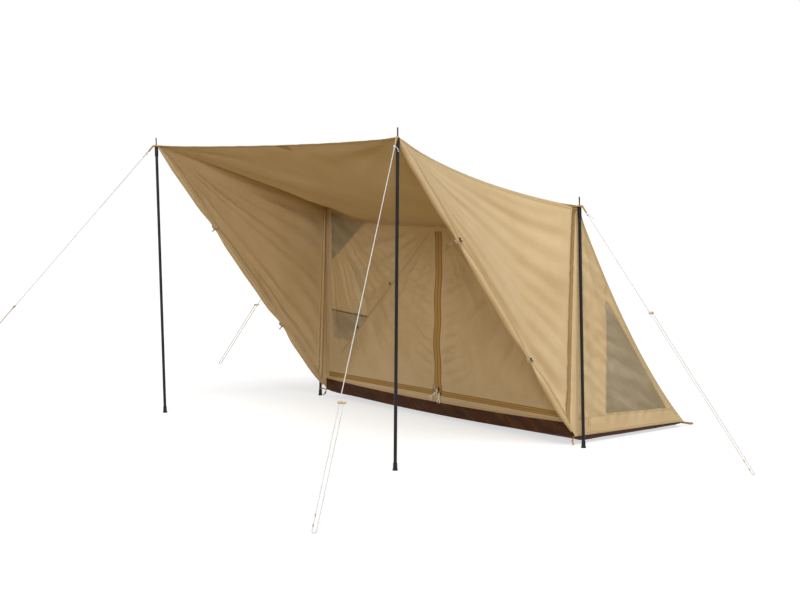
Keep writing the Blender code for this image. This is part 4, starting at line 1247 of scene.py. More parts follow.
@dataclass(frozen=True)
class Pucker:
    """Small gathers that stand square to a sewn line and fade away from it.

    Attributes:
        wavelength: Distance between gathers along the seam, in metres.
        height: Their height in metres.
        depth: How far they reach from the seam.
        seed: Picks their irregularity.
    """

    wavelength: float
    height: float
    depth: float
    seed: float

    def at(self, along: float, away: float) -> float:
        """The gathers' height at a distance along the seam and away from it."""
        phase = 2 * pi * along / self.wavelength + 2.2 * wander(along * 7, away * 6, self.seed)
        fade = exp(-(away / self.depth) ** 2)
        return self.height * sin(phase) * fade * (0.6 + 0.7 * wander(along * 11, 0.3, self.seed + 3))


def grid_of(surface: Surface, rows: int, columns: int) -> np.ndarray:
    """Sample a surface, -1 to 1 across and 0 to 1 down, as an array of rows, columns and xyz."""
    return np.array([[surface(a, b) for a in spread(columns, -1, 1)] for b in spread(rows)])


def normal_of(surface: Surface, a: float, b: float, step: float = 4 * MM) -> Vector:
    """The direction square to a surface at a place."""
    here = surface(a, b)
    return (surface(a + step, b) - here).cross(surface(a, b + step) - here).normalized()


@dataclass
class Assembly:
    """What every sub-assembly has: the tent's shape, and the tailor who makes its pieces."""

    shape: TentShape
    tailor: Tailor


@dataclass
class Roof(Assembly):
    """The canopy, the rear roof and their hems and seams."""

    hem: float = 16 * MM
    rear_length: float = 1.48
    eye_out: float = 12.5 * MM
    eye_hole: float = 4.2 * MM
    eye_tail: float = 45 * MM

    def canopy_point(self, s: float, t: float) -> Vector:
        """A point of the canopy, s across and t from the ridge to the front edge."""
        shape = self.shape
        point = shape.patch(s, t, shape.ridge, shape.canopy_front, shape.canopy_side)
        inner = ease(1 - abs(s), 0, 0.14) * ease(t, 0, 0.12) * ease(1 - t, 0, 0.06)
        a, b = abs(s) * shape.half_canopy, t * shape.canopy_depth
        seed = 2.0 if s < 0 else 5.0
        folds = Fan((shape.half_canopy, shape.canopy_depth), 3.2, 11 * MM, 1.7, seed).at(a, b)
        folds += Fan((shape.half_canopy, shape.canopy_depth), 7.5, 3.5 * MM, 1.3, seed + 3).at(a, b)
        folds += Fan((shape.half_ridge, 0.0), 2.6, 5 * MM, 1.1, seed + 1).at(a, b)
        folds += 3 * MM * wander(point.x * 2.2, point.y * 3.4, 11.0)
        belly = shape.canopy_belly * (1 - s * s) * sin(pi * min(t * 1.05, 1))
        flutter = Pucker(0.21, 0.8 * MM, 0.10, 4.0).at(point.x, (1 - t) * shape.canopy_depth)
        point.z += folds * inner - belly + flutter * ease(1 - abs(s), 0, 0.2)
        point.y -= 0.9 * MM * (1 - t)
        return point

    def rear_point(self, s: float, t: float) -> Vector:
        """A point of the rear roof, s across and t from the ridge to the rear hem."""
        shape = self.shape
        point = shape.patch(s, t, shape.ridge, shape.rear_hem, shape.roof_side)
        inner = ease(1 - abs(s), 0, 0.16) * ease(t, 0, 0.10) * ease(1 - t, 0, 0.08)
        a, b = abs(s) * shape.half_ridge, t * self.rear_length
        seed = 21.0 if s < 0 else 26.0
        folds = Fan((shape.half_ridge, 0.0), 3.0, 7 * MM, 1.4, seed).at(a, b)
        folds += Fan((shape.half_rear, self.rear_length), 3.4, 7 * MM, 1.2, seed + 1).at(a, b)
        folds += 3 * MM * wander(point.x * 2.4, b * 2.4, 31.0)
        point.z += folds * inner - 0.010 * (1 - s * s) * hump(t)
        point.y += 3.4 * MM * (1 - t)
        return point

    def build(self) -> None:
        """Build both roof cloths, their hems, and the webbing eyes on the poles' pins."""
        shape = self.shape
        canopy = self.tailor.grid("canopy_cloth", grid_of(self.canopy_point, 60, 120), CLOTH, CANVAS,
                                  replaces=["canopy"])
        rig.sheet(canopy, flat=(2.30, 1.18), held="stretched", rests_on=["canopy_pole_left_top",
                                                                        "canopy_pole_right_top"], area=2.44)
        rear = self.tailor.grid("rear_roof_cloth", grid_of(self.rear_point, 66, 110), CLOTH, CANVAS,
                                replaces=["rear_roof"])
        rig.sheet(rear, flat=(2.26, 1.50), held="stretched", rests_on=["front_panel_left", "groundsheet"],
                 area=3.00)
        half = self.hem / 2
        across = [s * 0.985 for s in spread(90, -1, 1)]
        down = [0.012 + 0.972 * t for t in spread(50)]
        reach = shape.canopy_depth
        for name, surface, edge, width in (
                ("canopy_front_hem", self.canopy_point, 1 - half / reach, self.hem),
                ("canopy_ridge_seam", self.canopy_point, half / reach, self.hem),
                ("rear_ridge_seam", self.rear_point, half / self.rear_length, self.hem),
                ("rear_hem", self.rear_point, 1 - 10 * MM / self.rear_length, 20 * MM)):
            self.tailor.seam(name, surface, [(s, edge) for s in across], width, STITCHED)
        self.build_centre_patch()
        for side in Side:
            for name, surface, width in (("canopy", self.canopy_point, shape.half_canopy),
                                         ("rear", self.rear_point, shape.half_ridge)):
                edge = side.value * (1 - half / width)
                self.tailor.seam(f"{name}_side_seam_{side.word}", surface, [(edge, t) for t in down],
                                 self.hem, STITCHED)
            for kind in ("ridge", "canopy"):
                self.build_eye(kind, side)
            self.build_patch(side)

    def build_centre_patch(self) -> None:
        """Build the small three-cornered reinforcement under the middle of the canopy's front hem."""
        def place(a: float, b: float) -> Vector:
            """The patch's surface just under the canopy."""
            point = self.canopy_point(a / self.shape.half_canopy, 0.996 + b / self.shape.canopy_depth)
            point.z -= 2.6 * MM
            return point

        # Its cloth is the darker seam canvas: painted shade under the canopy.
        self.tailor.panel("centre_patch", [(0.045, 0.0), (-0.045, 0.0), (0.04, -0.045)], [], place, 0.9 * MM,
                          12 * MM, SEAM_SHADE_CANVAS)

    def build_patch(self, side: Side) -> None:
        """Build the folded reinforcement at a canopy's front corner."""
        shape = self.shape
        outline = [(0.0, 0.0), (-0.150, 0.0), (0.0, -0.125)]
        if side is Side.LEFT:
            outline = [(-a, b) for a, b in reversed(outline)]

        def place(a: float, b: float) -> Vector:
            """The patch's surface just under the canopy."""
            s = side.value * (1 - 0.018) + a / shape.half_canopy
            t = 1 - 0.016 + b / shape.canopy_depth
            point = self.canopy_point(s, t)
            point.z -= 1.6 * MM
            return point

        self.tailor.panel("corner_patch_" + side.word, outline, [], place, 0.8 * MM, 20 * MM, STITCHED)

    def build_eye(self, kind: str, side: Side) -> None:
        """Build the webbing loop round a pole's pin, doubled and box-stitched to the cloth.

        Args:
            kind: The pole's kind, "ridge" or "canopy".
            side: The pole's side.
        """
        shape = self.shape
        pin = shape.pole(kind, side)[1]
        surface = self.canopy_point
        anchor = surface(side.value * 0.955, 0.045 if kind == "ridge" else 0.955)
        level = pin.z + 0.8 * MM + 1.5 * MM
        inward = Vector((anchor.x - pin.x, anchor.y - pin.y, 0)).normalized()
        sideways = Vector((-inward.y, inward.x, 0))
        outline = [(self.eye_tail, -0.0085), (self.eye_tail, 0.0085), (0.010, 0.010)]
        for turn in map(radians, range(70, -71, -14)):
            outline.append((-self.eye_out * cos(turn), self.eye_out * sin(turn)))
        outline.append((0.010, -0.010))
        hole = [(self.eye_hole * cos(turn), self.eye_hole * sin(turn))
                for turn in map(radians, range(0, 360, 30))]

        def place(a: float, b: float) -> Vector:
            """The loop's surface: level at the pin, then lying on the cloth."""
            point = pin + inward * a + sideways * b
            share = ease(a, 0.012, 0.030)
            cloth = surface(clamp(point.x / shape.half_canopy, -1, 1),
                            clamp((shape.front_y - point.y) / shape.canopy_depth))
            point.z = mix(level, cloth.z + 1.4 * MM, share)
            return point

        self.tailor.panel(f"{kind}_eye_{side.word}", outline, [hole], place, 2.2 * MM, 5 * MM, WEBBING,
                          angle=50.0)


@dataclass
class Wing(Assembly):
    """One side wing with its rolled-up edge, ties and seams."""

    side: Side
    roll_sides: int = 30
    roll_rings: int = 130
    lip: float = 9.0 * MM
    tie_cord: float = 1.9 * MM
    toggle_gap: float = 8 * MM
    # Distances from the ridge pole of the seams beside it and of the rear edge of the painted fold shade, at their
    # tops and feet.
    front_inset: Pair = (20 * MM, 56 * MM)
    rear_inset: Pair = (4 * MM, 34 * MM)
    facing_inset: Pair = (2 * MM, 34 * MM)
    inset_power: float = 0.9
    # Darker canvas laid over the wing between the ridge pole and the front seam: painted shade where the cloth folds
    # inward.
    facing: Finish = CottonCanvas(name="seam_facing", light="A2885C", middle="967C52", dark="8A7049")
    cord: Finish = BraidedCord(name="elastic_cord", slot="canvas", light="DDCAA2", dark="A58C5C")

    def point(self, share: float, v: float) -> Vector:
        """A point of the wing, share from the ridge pole to the canopy pole, v down to the roll."""
        shape, side = self.shape, self.side.value
        t = shape.roll_end * share
        run = shape.roll_line(1, side) - shape.roll_line(0, side)
        seam = shape.canopy_side(t, side)
        seam.z -= 1.4 * MM
        free = shape.roll_line(t, side)
        radius = shape.roll_thickness(t)
        free.z = min(free.z + radius * 0.62 * run.length / abs(run.y), seam.z)
        pull = shape.corner_pull("ridge", side, t * shape.canopy_depth)
        point = (seam - pull).lerp(free, v)
        seed = 41.0 if side < 0 else 47.0
        phase = pi * (5.4 * v + 0.5) + 1.1 * wander(share * 1.7, v * 2.2, seed)
        fine = 2 * pi * (8.2 * v ** 0.9 + 0.45 * wander(share * 2.3, v * 3.0, seed + 4))
        folds = 0.55 * sin(phase) + 0.35 * sin(2.4 * phase + 1.1)
        strength = (0.62 if side > 0 else 1.15) * mix(1.3, 0.6, share)
        folds += strength * sin(fine) * (0.6 + 0.8 * wander(share * 3, v * 4, seed + 6))
        edges = ease(v, 0, 0.08) * ease(1 - v, 0, 0.07)
        edges *= ease(share, 0.012, 0.12) * ease(1 - share, 0.02, 0.40)
        drop = (seam.z - free.z) * v
        away = share * shape.canopy_depth
        gather = Pucker(0.060, 1.8 * MM, 0.05, seed).at(drop, max(away - 0.06, 0))
        gather -= 12 * MM * exp(-((away - mix(0.009, 0.045, v ** 0.9)) / 0.011) ** 2)
        point.x += side * (8.5 * MM * folds * edges + gather * ease(v, 0, 0.05) * ease(1 - v, 0, 0.05))
        point.x += side * 3 * MM * wander(share * 4, v * 5, seed + 2) * edges
        # The cloth dips before it enters the roll, so the roll stands proud of it.
        point.x -= 0.62 * radius * ease(v, 0.88, 0.97) * ease(1 - share, 0.0, 0.3) * ease(share, 0.0, 0.1)
        point.y += 1.0 * MM * (1 - share)
        return point

    def roll_frame(self, t: float) -> tuple[Vector, Vector, Vector, Vector]:
        """Middle, run, outward and upward directions of the roll at a place."""
        side = self.side.value
        run = (self.shape.roll_line(1, side) - self.shape.roll_line(0, side)).normalized()
        out = Vector((side, 0, 0))
        out = (out - run * out.dot(run)).normalized()
        return self.shape.roll_line(t, side), run, out, run.cross(out) * side

    def roll_points(self) -> tuple[list, list, list]:
        """The rolled cloth: a coil whose outer edge shows as a lip that wanders along it."""
        shape = self.shape
        points, uv = [], []
        low, high = shape.roll_start, shape.roll_end
        length = (shape.roll_line(1, 1) - shape.roll_line(0, 1)).length
        seed = 61.0 if self.side is Side.LEFT else 66.0
        size = self.roll_sides
        for i in range(self.roll_rings + 1):
            t = mix(low, high, i / self.roll_rings)
            middle, _, out, up = self.roll_frame(t)
            radius = shape.roll_thickness(t)
            start = (0.75 if self.side is Side.RIGHT else 2.45) + 0.30 * wander(t * 5, 0.2, seed)
            lip = self.lip * shape.roll_fullness(t)
            for k in range(size):
                turn = 2 * pi * k / (size - 1)
                angle = start + self.side.value * turn
                pinch = max(exp(-((t - tie) / 0.022) ** 2) for tie in shape.roll_ties)
                wrinkle = 0.9 * MM * cos(7 * angle + 4 * wander(t * 9, 0.5, seed)) * pinch
                loose = 1.3 * MM * wander(t * 16, cos(angle) * 1.2, seed + sin(angle))
                twist = 0.8 * MM * sin(angle * 2 + t * 46)
                r = radius - lip * turn / (2 * pi) + wrinkle + (loose + twist) * (1 - pinch) * 0.8
                points.append(middle + (out * cos(angle) + up * sin(angle)) * r)
                uv.append((t * length, radius * turn))
        return points, ring_faces(self.roll_rings + 1, size), uv

    def build(self) -> None:
        """Build the wing, its seams, the painted fold shade beside the ridge pole, its roll and the roll's ties."""
        word, shape = self.side.word, self.shape
        rows = np.array([[self.point(share ** 1.5, v) for share in spread(96)] for v in spread(56)])
        wing = self.tailor.grid("wing_cloth_" + word, rows, CLOTH, CANVAS, replaces=["wing_" + word])
        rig.sheet(wing, flat=(1.15, 1.13), held="stretched", rests_on=["canopy", "wing_roll_" + word],
                 area=0.68)
        down = spread(60, 0.012, 0.988)
        reach = shape.canopy_depth * shape.roll_end
        # The seams use the darker seam canvas: painted shade of their folds.
        for name, inset in (("front", self.front_inset), ("rear", self.rear_inset)):
            path = [(mix(*inset, v ** self.inset_power) / reach, v) for v in down]
            self.tailor.seam(f"wing_{name}_seam_{word}", self.point, path, 8 * MM, SEAM_SHADE_CANVAS)
        # Painted shade: a darker sheet over the inward fold between the ridge pole and the front seam.
        facing = []
        for v in spread(60, 0.015, 0.985):
            ends = [mix(*inset, v ** self.inset_power) for inset in (self.facing_inset, self.front_inset)]
            facing.append([self.point(mix(*ends, a) / reach, v) + Vector((self.side.value * 1.6 * MM, 0, 0))
                           for a in spread(9)])
        self.tailor.grid("wing_facing_" + word, np.array(facing), 1 * MM, self.facing)
        path = [(a, 0.012) for a in spread(60, 0.02, 0.97)]
        self.tailor.seam("wing_top_seam_" + word, self.point, path, 12 * MM, STITCHED)
        points, faces, uv = self.roll_points()
        roll = self.tailor.piece("wing_roll_cloth_" + word, points, faces, CANVAS, uv=uv, angle=50.0,
                                 replaces=["wing_roll_" + word])
        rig.padded(roll, fill=0.35)
        for place, tie in zip(("lower", "upper"), shape.roll_ties):
            self.build_tie(place, tie)

    def build_tie(self, place: str, tie: float) -> None:
        """Build the elastic loop round the roll, its stem through the toggle, and its knot.

        Args:
            place: "lower" or "upper".
            tie: Where on the roll it sits, 0 to 1.
        """
        middle, run, out, up = self.roll_frame(tie)
        radius = self.shape.roll_thickness(tie) + self.tie_cord * 0.7
        name = f"{place}_{self.side.word}"
        for number, shift in enumerate((-5 * MM, 3 * MM)):
            line = []
            for turn in (2 * pi * i / 30 for i in range(31)):
                line.append(middle + (out * cos(turn) + up * sin(turn)) * radius
                            + run * (shift + 2.5 * MM * sin(turn + number * 2)))
            self.tailor.cord(f"tie_loop_{name}_{number}", line, self.tie_cord, self.cord)
        surface = self.shape.roll_thickness(tie)
        reach = self.shape.roll_tie_radius + self.toggle_gap
        stem = [middle + out * mix(surface - 4 * MM, reach + 1.5 * MM, i / 4) for i in range(5)]
        self.tailor.cord("tie_stem_" + name, stem, 1.0 * MM, self.cord)
        self.tailor.knot("tie_knot_" + name, middle + out * (reach + 1.6 * MM), out,
                         1.5 * MM, 0.8 * MM, self.cord)
        inner = middle - out * radius
        hang = [inner - out * across * MM - up * down * MM
                for across, down in ((0, 2), (8, 14), (11, 34), (6, 40), (2, 30), (1, 8))]
        self.tailor.cord("tie_tail_" + name, smooth_line(hang, 8), 1.7 * MM, BROWN_CORD, sides=6)


def middle_of(corners: Sequence[Pair]) -> Vector:
    """The mean of an outline's corners."""
    return Vector((sum(p[0] for p in corners) / len(corners), sum(p[1] for p in corners) / len(corners)))


@dataclass
class FrontWall(Assembly):
    """The front wall: fixed panels, doors, zips, nets, pockets and the sill."""

    cell: float = 13 * MM
    sill_rise: float = 0.0684
    sill_top: float = 0.131
    chain_z: float = 0.145
    chain_half: float = 1.5 * MM
    tape_width: float = 30 * MM
    zip_half: float = 1.0
    tape_end: float = 1.085
    door_foot: float = 0.960
    door_top: float = 0.985
    slit_top: float = 1.047
    notch: float = 45 * MM
    gap: float = 0.4 * MM
    hook_rise: float = 27 * MM
    hook_radius: float = 9 * MM
    net_window: tuple[Pair, ...] = ((1.058, 1.136), (0.700, 1.083), (1.050, 0.846))
    pocket: tuple[Pair, ...] = ((1.052, 0.546), (0.680, 0.529), (0.869, 0.371), (1.031, 0.376))
    binding: Finish = CottonWebbing(name="binding_tape", light="8B7448", dark="6A5630")
    tape: Finish = ZipTape()
    level_tape: Finish = ZipTape(name="level_zip_tape", border=13 * MM, border_half=4 * MM, groove=1.2 * MM)

    def depth(self, x: float, z: float) -> float:
        """How far the wall's folds stand out of its plane, positive to the rear."""
        shape = self.shape
        a = abs(x - self.sway(z))
        seed = 71.0 if x < 0 else 78.0
        folds = Fan((shape.half_ridge, 1.16), 4.2, 9 * MM, 1.9, seed).at(a, z)
        folds += Fan((shape.half_ridge, 1.20), 10.0, 6.5 * MM, 1.9, seed + 8).at(a, z)
        folds += Fan((shape.half_ridge, 1.24), 19.0, 4.5 * MM, 1.9, seed + 9).at(a, z)
        folds += Fan((0.02, 1.10), 7.0, 12 * MM, 1.3, seed + 1).at(a, z)
        folds += 4 * MM * wander(x * 2.1, z * 3.0, seed + 2) + 2.5 * MM * wander(x * 6, z * 5, seed + 4)
        clear = ease(a, 0.036, 0.16) * ease(z, 0.165, 0.26)
        clear *= ease(shape.ridge(x / shape.half_ridge).z - z, 0.0, 0.12)
        clear *= ease(shape.half_ridge - a, 0.0, 0.10)
        gathers = Pucker(0.066, 10.5 * MM, 0.18, seed + 5).at(z - 0.4 * (a - 0.03), a - 0.03)
        gathers *= (1.0 if x < 0 else 1.8) * ease(a, 0.040, 0.075)
        gathers *= ease(z, 0.20, 0.28) * ease(1.04 - z, 0, 0.08)
        low = Pucker(0.085, 3.2 * MM, 0.08, seed + 6).at(x, z - 0.165)
        low *= ease(z, 0.163, 0.19) * ease(a, 0.05, 0.12)
        window = 1.0
        for corners in (self.net_window, self.pocket):
            away = (Vector((a, z)) - middle_of(corners)).length
            window = min(window, 0.35 + 0.65 * ease(away, 0.10, 0.24))
        calm = ease(abs(z - shape.seam_z(a)), 0.006, 0.085)
        return (folds * clear + gathers + low) * window * calm + self.wave(z) * (1 - ease(a, 0.042, 0.075))

    def sway(self, z: float) -> float:
        """How far the upright zip wanders sideways between its ends."""
        calm = ease(z, 0.17, 0.32) * ease(1.05 - z, 0.0, 0.06)
        return (7 * MM * sin((z - 0.70) * 6.16) + 2.2 * MM * sin(z * 27)
                + 1.8 * MM * wander(z * 9, 0.4, 93.0)) * calm

    def wave(self, z: float) -> float:
        """How far the upright zip waves in and out."""
        return 3 * MM * sin(z * 23 + 1.0) * ease(z, 0.17, 0.32) * ease(1.05 - z, 0.0, 0.06)

    def place(self, x: float, z: float) -> Vector:
        """A point of the folded wall."""
        return Vector((x, self.shape.front_y + 1 * MM + self.depth(x, z), z))

    @staticmethod
    def mirrored(points: Sequence[Pair], side: Side) -> list[Pair]:
        """Points of the right half as they lie on a side, in the same turning sense."""
        moved = [(side.value * a, b) for a, b in points]
        return moved if side is Side.RIGHT else list(reversed(moved))

    def build(self) -> None:
        """Build the whole front wall."""
        self.build_sill()
        for side in Side:
            self.build_panel(side)
            self.build_window(side)
            self.build_pocket(side)
            self.build_door(side)
            self.build_hooks(side)
        self.build_guard()

    def build_sill(self) -> None:
        """Build the tan strip over the floor's band, and the lower half of the level zip."""
        shape, half = self.shape, self.shape.half_ridge
        bottom = [(half * s, shape.front_rim(half * s) + self.sill_rise) for s in spread(40, -1, 1)]
        sill = self.tailor.panel("sill_cloth", [*bottom, (half, self.sill_top), (-half, self.sill_top)], [],
                                 self.ripple, CLOTH, 14 * MM, CANVAS, replaces=["front_sill"])
        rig.sheet(sill, flat=(2.24, 0.060), held="stretched", rests_on=["groundsheet"], area=0.073)
        line = self.level_line(-self.tape_end, self.tape_end, 150)
        self.half_tape("zip_tape_level", line, -1, 14 * MM, "root", ["zip_tape_bottom"])
        rise = self.sill_rise + 6 * MM
        seam = [Vector((half * s * 0.995, shape.front_y - 0.2 * MM, shape.front_rim(half * s) + rise))
                for s in spread(110, -1, 1)]
        self.tailor.strip("sill_seam", seam, [FORWARD] * len(seam), 9 * MM, 0.8 * MM, STITCHED)

    def ripple(self, x: float, z: float) -> Vector:
        """The sill's surface, gathered a little by its stitching."""
        share = ease(z, self.shape.front_rim(x) + 0.069, self.shape.front_rim(x) + 0.085)
        gather = Pucker(0.045, 2.2 * MM, 0.05, 90.0).at(x, z - 0.10)
        out = gather * share * ease(self.sill_top - z, 0, 0.012)
        return Vector((x, self.shape.front_y + 1 * MM + out, z))

    def half_tape(self, name: str, line: Line, side: int, width: float, body: str = "root",
                  replaces: Sequence[str] = ()) -> None:
        """Lay half a zip tape beside its chain.

        Args:
            name: The piece's name.
            line: The chain's middle line.
            side: Which side of the line, 1 for its right when looking along it from the front.
            width: The tape's width from the chain.
            body: The body it rides on.
            replaces: The node it stands for.
        """
        rows = []
        for i, off in enumerate(spread(8, 0.4 * MM, width)):
            raised = FORWARD * (0.9 * MM * exp(-(i / 1.3) ** 2))
            rows.append([here - run.cross(FORWARD).normalized() * off * side + raised
                         for here, run in zip(line, runs_of(line))])
        finish = self.tape if width > 20 * MM else self.level_tape
        self.tailor.grid(name, np.array(rows), CLOTH, finish, body=body, replaces=replaces)

    def level_line(self, low: float, high: float, count: int) -> list[Vector]:
        """The level zip's middle line, between two distances from the tent's middle."""
        return [Vector((x, self.shape.front_y + 0.7 * MM, self.chain_z)) for x in spread(count, low, high)]

    def chain_line(self, low: float, high: float, count: int = 110) -> list[Vector]:
        """The upright zip's middle line, which wanders a little between its ends."""
        return [Vector((self.sway(z), self.shape.front_y + 0.1 * MM + self.wave(z), z))
                for z in spread(count, low, high)]

    def panel_outline(self) -> list[Pair]:
        """The fixed panel's cut, for the right half."""
        shape, gap = self.shape, self.gap
        slant = gap / cos(atan(shape.seam_slope))
        foot = self.door_foot + gap
        outline = [(shape.half_ridge, self.sill_top + gap)]
        for s in spread(20, 1.0, 0.0)[:-1]:
            outline.append((shape.half_ridge * s, shape.ridge(s).z - shape.cloth_lift))
        top = shape.ridge(0).z - shape.cloth_lift
        inner, chain_top = self.chain_half + gap, self.chain_z + self.chain_half
        outline += [(gap / 2, top), (gap / 2, self.slit_top + 1 * MM), (inner, self.slit_top + 1 * MM),
                    (inner, self.door_top + gap),
                    (shape.seam_x(self.door_top + gap) + gap, self.door_top + gap),
                    (foot, shape.seam_z(foot) + slant), (foot, chain_top),
                    (self.zip_half + gap, chain_top), (self.zip_half + gap, self.sill_top + gap)]
        return list(reversed(outline))

    def build_panel(self, side: Side) -> None:
        """Build the fixed cloth above the slanting seam, with its seams."""
        word, shape = side.word, self.shape
        window = self.mirrored(self.net_window, side)
        panel = self.tailor.panel("front_cloth_" + word, self.mirrored(self.panel_outline(), side), [window],
                                  self.place, CLOTH, self.cell, CANVAS, replaces=["front_panel_" + word])
        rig.sheet(panel, flat=(1.12, 1.08), held="stretched", rests_on=["canopy", "front_sill"], area=0.545)
        sign = side.value
        slant = [(sign * x, shape.seam_z(x) + 7 * MM) for x in spread(60, 0.075, self.door_foot)]
        self.tailor.seam("slant_seam_" + word, self.place, slant, 10 * MM, STITCHED)
        top = [(sign * shape.half_ridge * s, shape.ridge(s).z - shape.cloth_lift - 11 * MM)
               for s in spread(60, 0.01, 0.99)]
        self.tailor.seam("front_top_seam_" + word, self.place, top, 14 * MM, STITCHED)
        for name, inset, width in (("corner", 7 * MM, 12 * MM), ("inner", 30 * MM, 8 * MM)):
            edge = shape.half_ridge - inset
            high = shape.ridge(edge / shape.half_ridge).z - 0.02
            upright = [(sign * edge, z) for z in spread(50, self.sill_top + 0.01, high)]
            self.tailor.seam(f"front_{name}_seam_{word}", self.place, upright, width, STITCHED)
        line = self.chain_line(self.door_top + 0.6 * MM, self.slit_top, 14)
        self.half_tape("zip_head_" + word, line, -sign, self.tape_width)

    def loop_seam(self, name: str, corners: Sequence[Pair], width: float, out: float) -> None:
        """Bind the edge of a window or pocket with a sewn strip on each of its sides."""
        middle = middle_of(corners)
        grown = [Vector(p) + (Vector(p) - middle).normalized() * out for p in corners]
        path = []
        for a, b in zip(grown, grown[1:] + grown[:1]):
            steps = max(2, round((b - a).length / 0.02))
            path += [tuple(a.lerp(b, i / steps)) for i in range(steps)]
        path.append(path[0])
        self.tailor.seam(name, self.place, path, width, STITCHED)

    def build_window(self, side: Side) -> None:
        """Build the net window and its binding."""
        word = side.word
        corners = self.mirrored(self.net_window, side)
        net = self.tailor.panel("window_net_" + word, corners, [], self.place, NET_CLOTH, 24 * MM, NET,
                                replaces=["front_net_" + word])
        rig.sheet(net, flat=(0.36, 0.29), held="stretched", rests_on=["front_panel_" + word], area=0.053)
        self.loop_seam("window_binding_" + word, corners, 8 * MM, 5 * MM)

    def build_pocket(self, side: Side) -> None:
        """Build the net pocket, which bags a little, and the hem along its mouth."""
        word = side.word
        corners = self.mirrored(self.pocket, side)
        middle = middle_of(corners)

        def bag(x: float, z: float) -> Vector:
            """The pocket's surface in front of the wall."""
            point = self.place(x, z)
            full = exp(-((x - middle[0]) / 0.12) ** 2 - ((z - middle[1] - 0.02) / 0.07) ** 2)
            point.y -= 1.7 * MM + 4 * MM * full
            return point

        net = self.tailor.panel("pocket_net_cloth_" + word, corners, [], bag, NET_CLOTH, 20 * MM, NET,
                                replaces=["pocket_net_" + word])
        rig.sheet(net, flat=(0.37, 0.17), held="hung", rests_on=["front_panel_" + word], area=0.045)
        (low_x, low_z), (high_x, high_z) = sorted(corners, key=lambda p: p[1])[-2:]
        hem = [bag(mix(low_x, high_x, t), mix(low_z, high_z, t)) + Vector((0, -0.5 * MM, -4 * MM))
               for t in spread(30)]
        self.tailor.strip("pocket_hem_" + word, hem, [FORWARD] * len(hem), 9 * MM, 1.2 * MM, self.binding)

    def build_door(self, side: Side) -> None:
        """Build one door flap with its half of the upright zip and its share of the level one."""
        word, shape, sign = side.word, self.shape, side.value
        inner = self.chain_half + self.tape_width / 2
        notch_z = self.chain_z + self.chain_half + self.notch
        slant = self.gap / cos(atan(shape.seam_slope)) * 1.5
        foot = self.chain_z + self.chain_half + 6 * MM
        outline = [(self.notch + self.gap, foot), (self.door_foot, foot),
                   (self.door_foot, shape.seam_z(self.door_foot) - slant),
                   (shape.seam_x(self.door_top) - slant / shape.seam_slope, self.door_top),
                   (inner, self.door_top), (inner, notch_z), (self.notch + self.gap, notch_z)]
        body = "door_" + word
        door = self.tailor.panel("door_cloth_" + word, self.mirrored(outline, side), [], self.place,
                                 CLOTH, self.cell, CANVAS, body=body, replaces=["door_" + word])
        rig.sheet(door, flat=(0.93, 0.84), held="stretched", rests_on=["zip_tape_" + word], area=0.52)
        line = self.chain_line(notch_z, self.door_top)
        self.half_tape("zip_side_" + word, line, -sign, self.tape_width, body, ["zip_tape_" + word])
        level = self.level_line(sign * (self.notch + self.gap), sign * self.door_foot, 70)
        self.half_tape("zip_foot_" + word, level, sign, 15 * MM, body)
        rest = self.level_line(sign * (self.door_foot + self.gap), sign * self.tape_end, 10)
        self.half_tape("zip_foot_end_" + word, rest, sign, 15 * MM)

    def build_guard(self) -> None:
        """Build the guard behind the place where the three zips meet, with the tapes sewn on it."""
        points = [(-0.056, 0.128), (0.056, 0.128), (0.052, 0.205), (-0.052, 0.205)]

        def behind(x: float, z: float) -> Vector:
            """The guard's surface, just behind the sliders."""
            return Vector((x, self.shape.front_y + 6.2 * MM + 1.0 * MM * cos(x * 60), z))

        self.tailor.panel("zip_guard", points, [], behind, 1.0 * MM, 12 * MM, CANVAS)
        y = self.shape.front_y + 5.6 * MM
        upright = [Vector((0, y, z)) for z in spread(12, self.chain_z, 0.200)]
        level = [Vector((x, y - 0.4 * MM, self.chain_z + 1 * MM)) for x in spread(12, -0.050, 0.050)]
        for side in Side:
            self.half_tape("guard_tape_" + side.word, upright, -side.value, self.tape_width)
        self.half_tape("guard_tape_level", level, 1, 15 * MM)

    def build_hooks(self, side: Side) -> None:
        """Build the small toggles and loops above the slanting seam that hold a rolled door."""
        places = (0.448, 0.774) if side is Side.LEFT else (0.376, 0.774)
        for number, x in enumerate(places):
            base = self.place(side.value * x, self.shape.seam_z(x) + self.hook_rise) + FORWARD * 1.2 * MM
            line = []
            for turn in map(radians, range(-50, 231, 20)):
                across, up = self.hook_radius * cos(turn), self.hook_radius * sin(turn)
                line.append(base + Vector((across, -4 * MM - 1 * MM * sin(turn), up - 5 * MM)))
            self.tailor.cord(f"hook_loop_{side.word}_{number}", smooth_line(line, 2), 1.3 * MM, BROWN_CORD,
                             sides=6)
            bar = [base + Vector((side.value * d * 0.5, -4 * MM, -10 * MM + d * 0.4))
                   for d in spread(6, -9 * MM, 9 * MM)]
            self.tailor.cord(f"hook_toggle_{side.word}_{number}", bar, 2.6 * MM, HORN, sides=10)


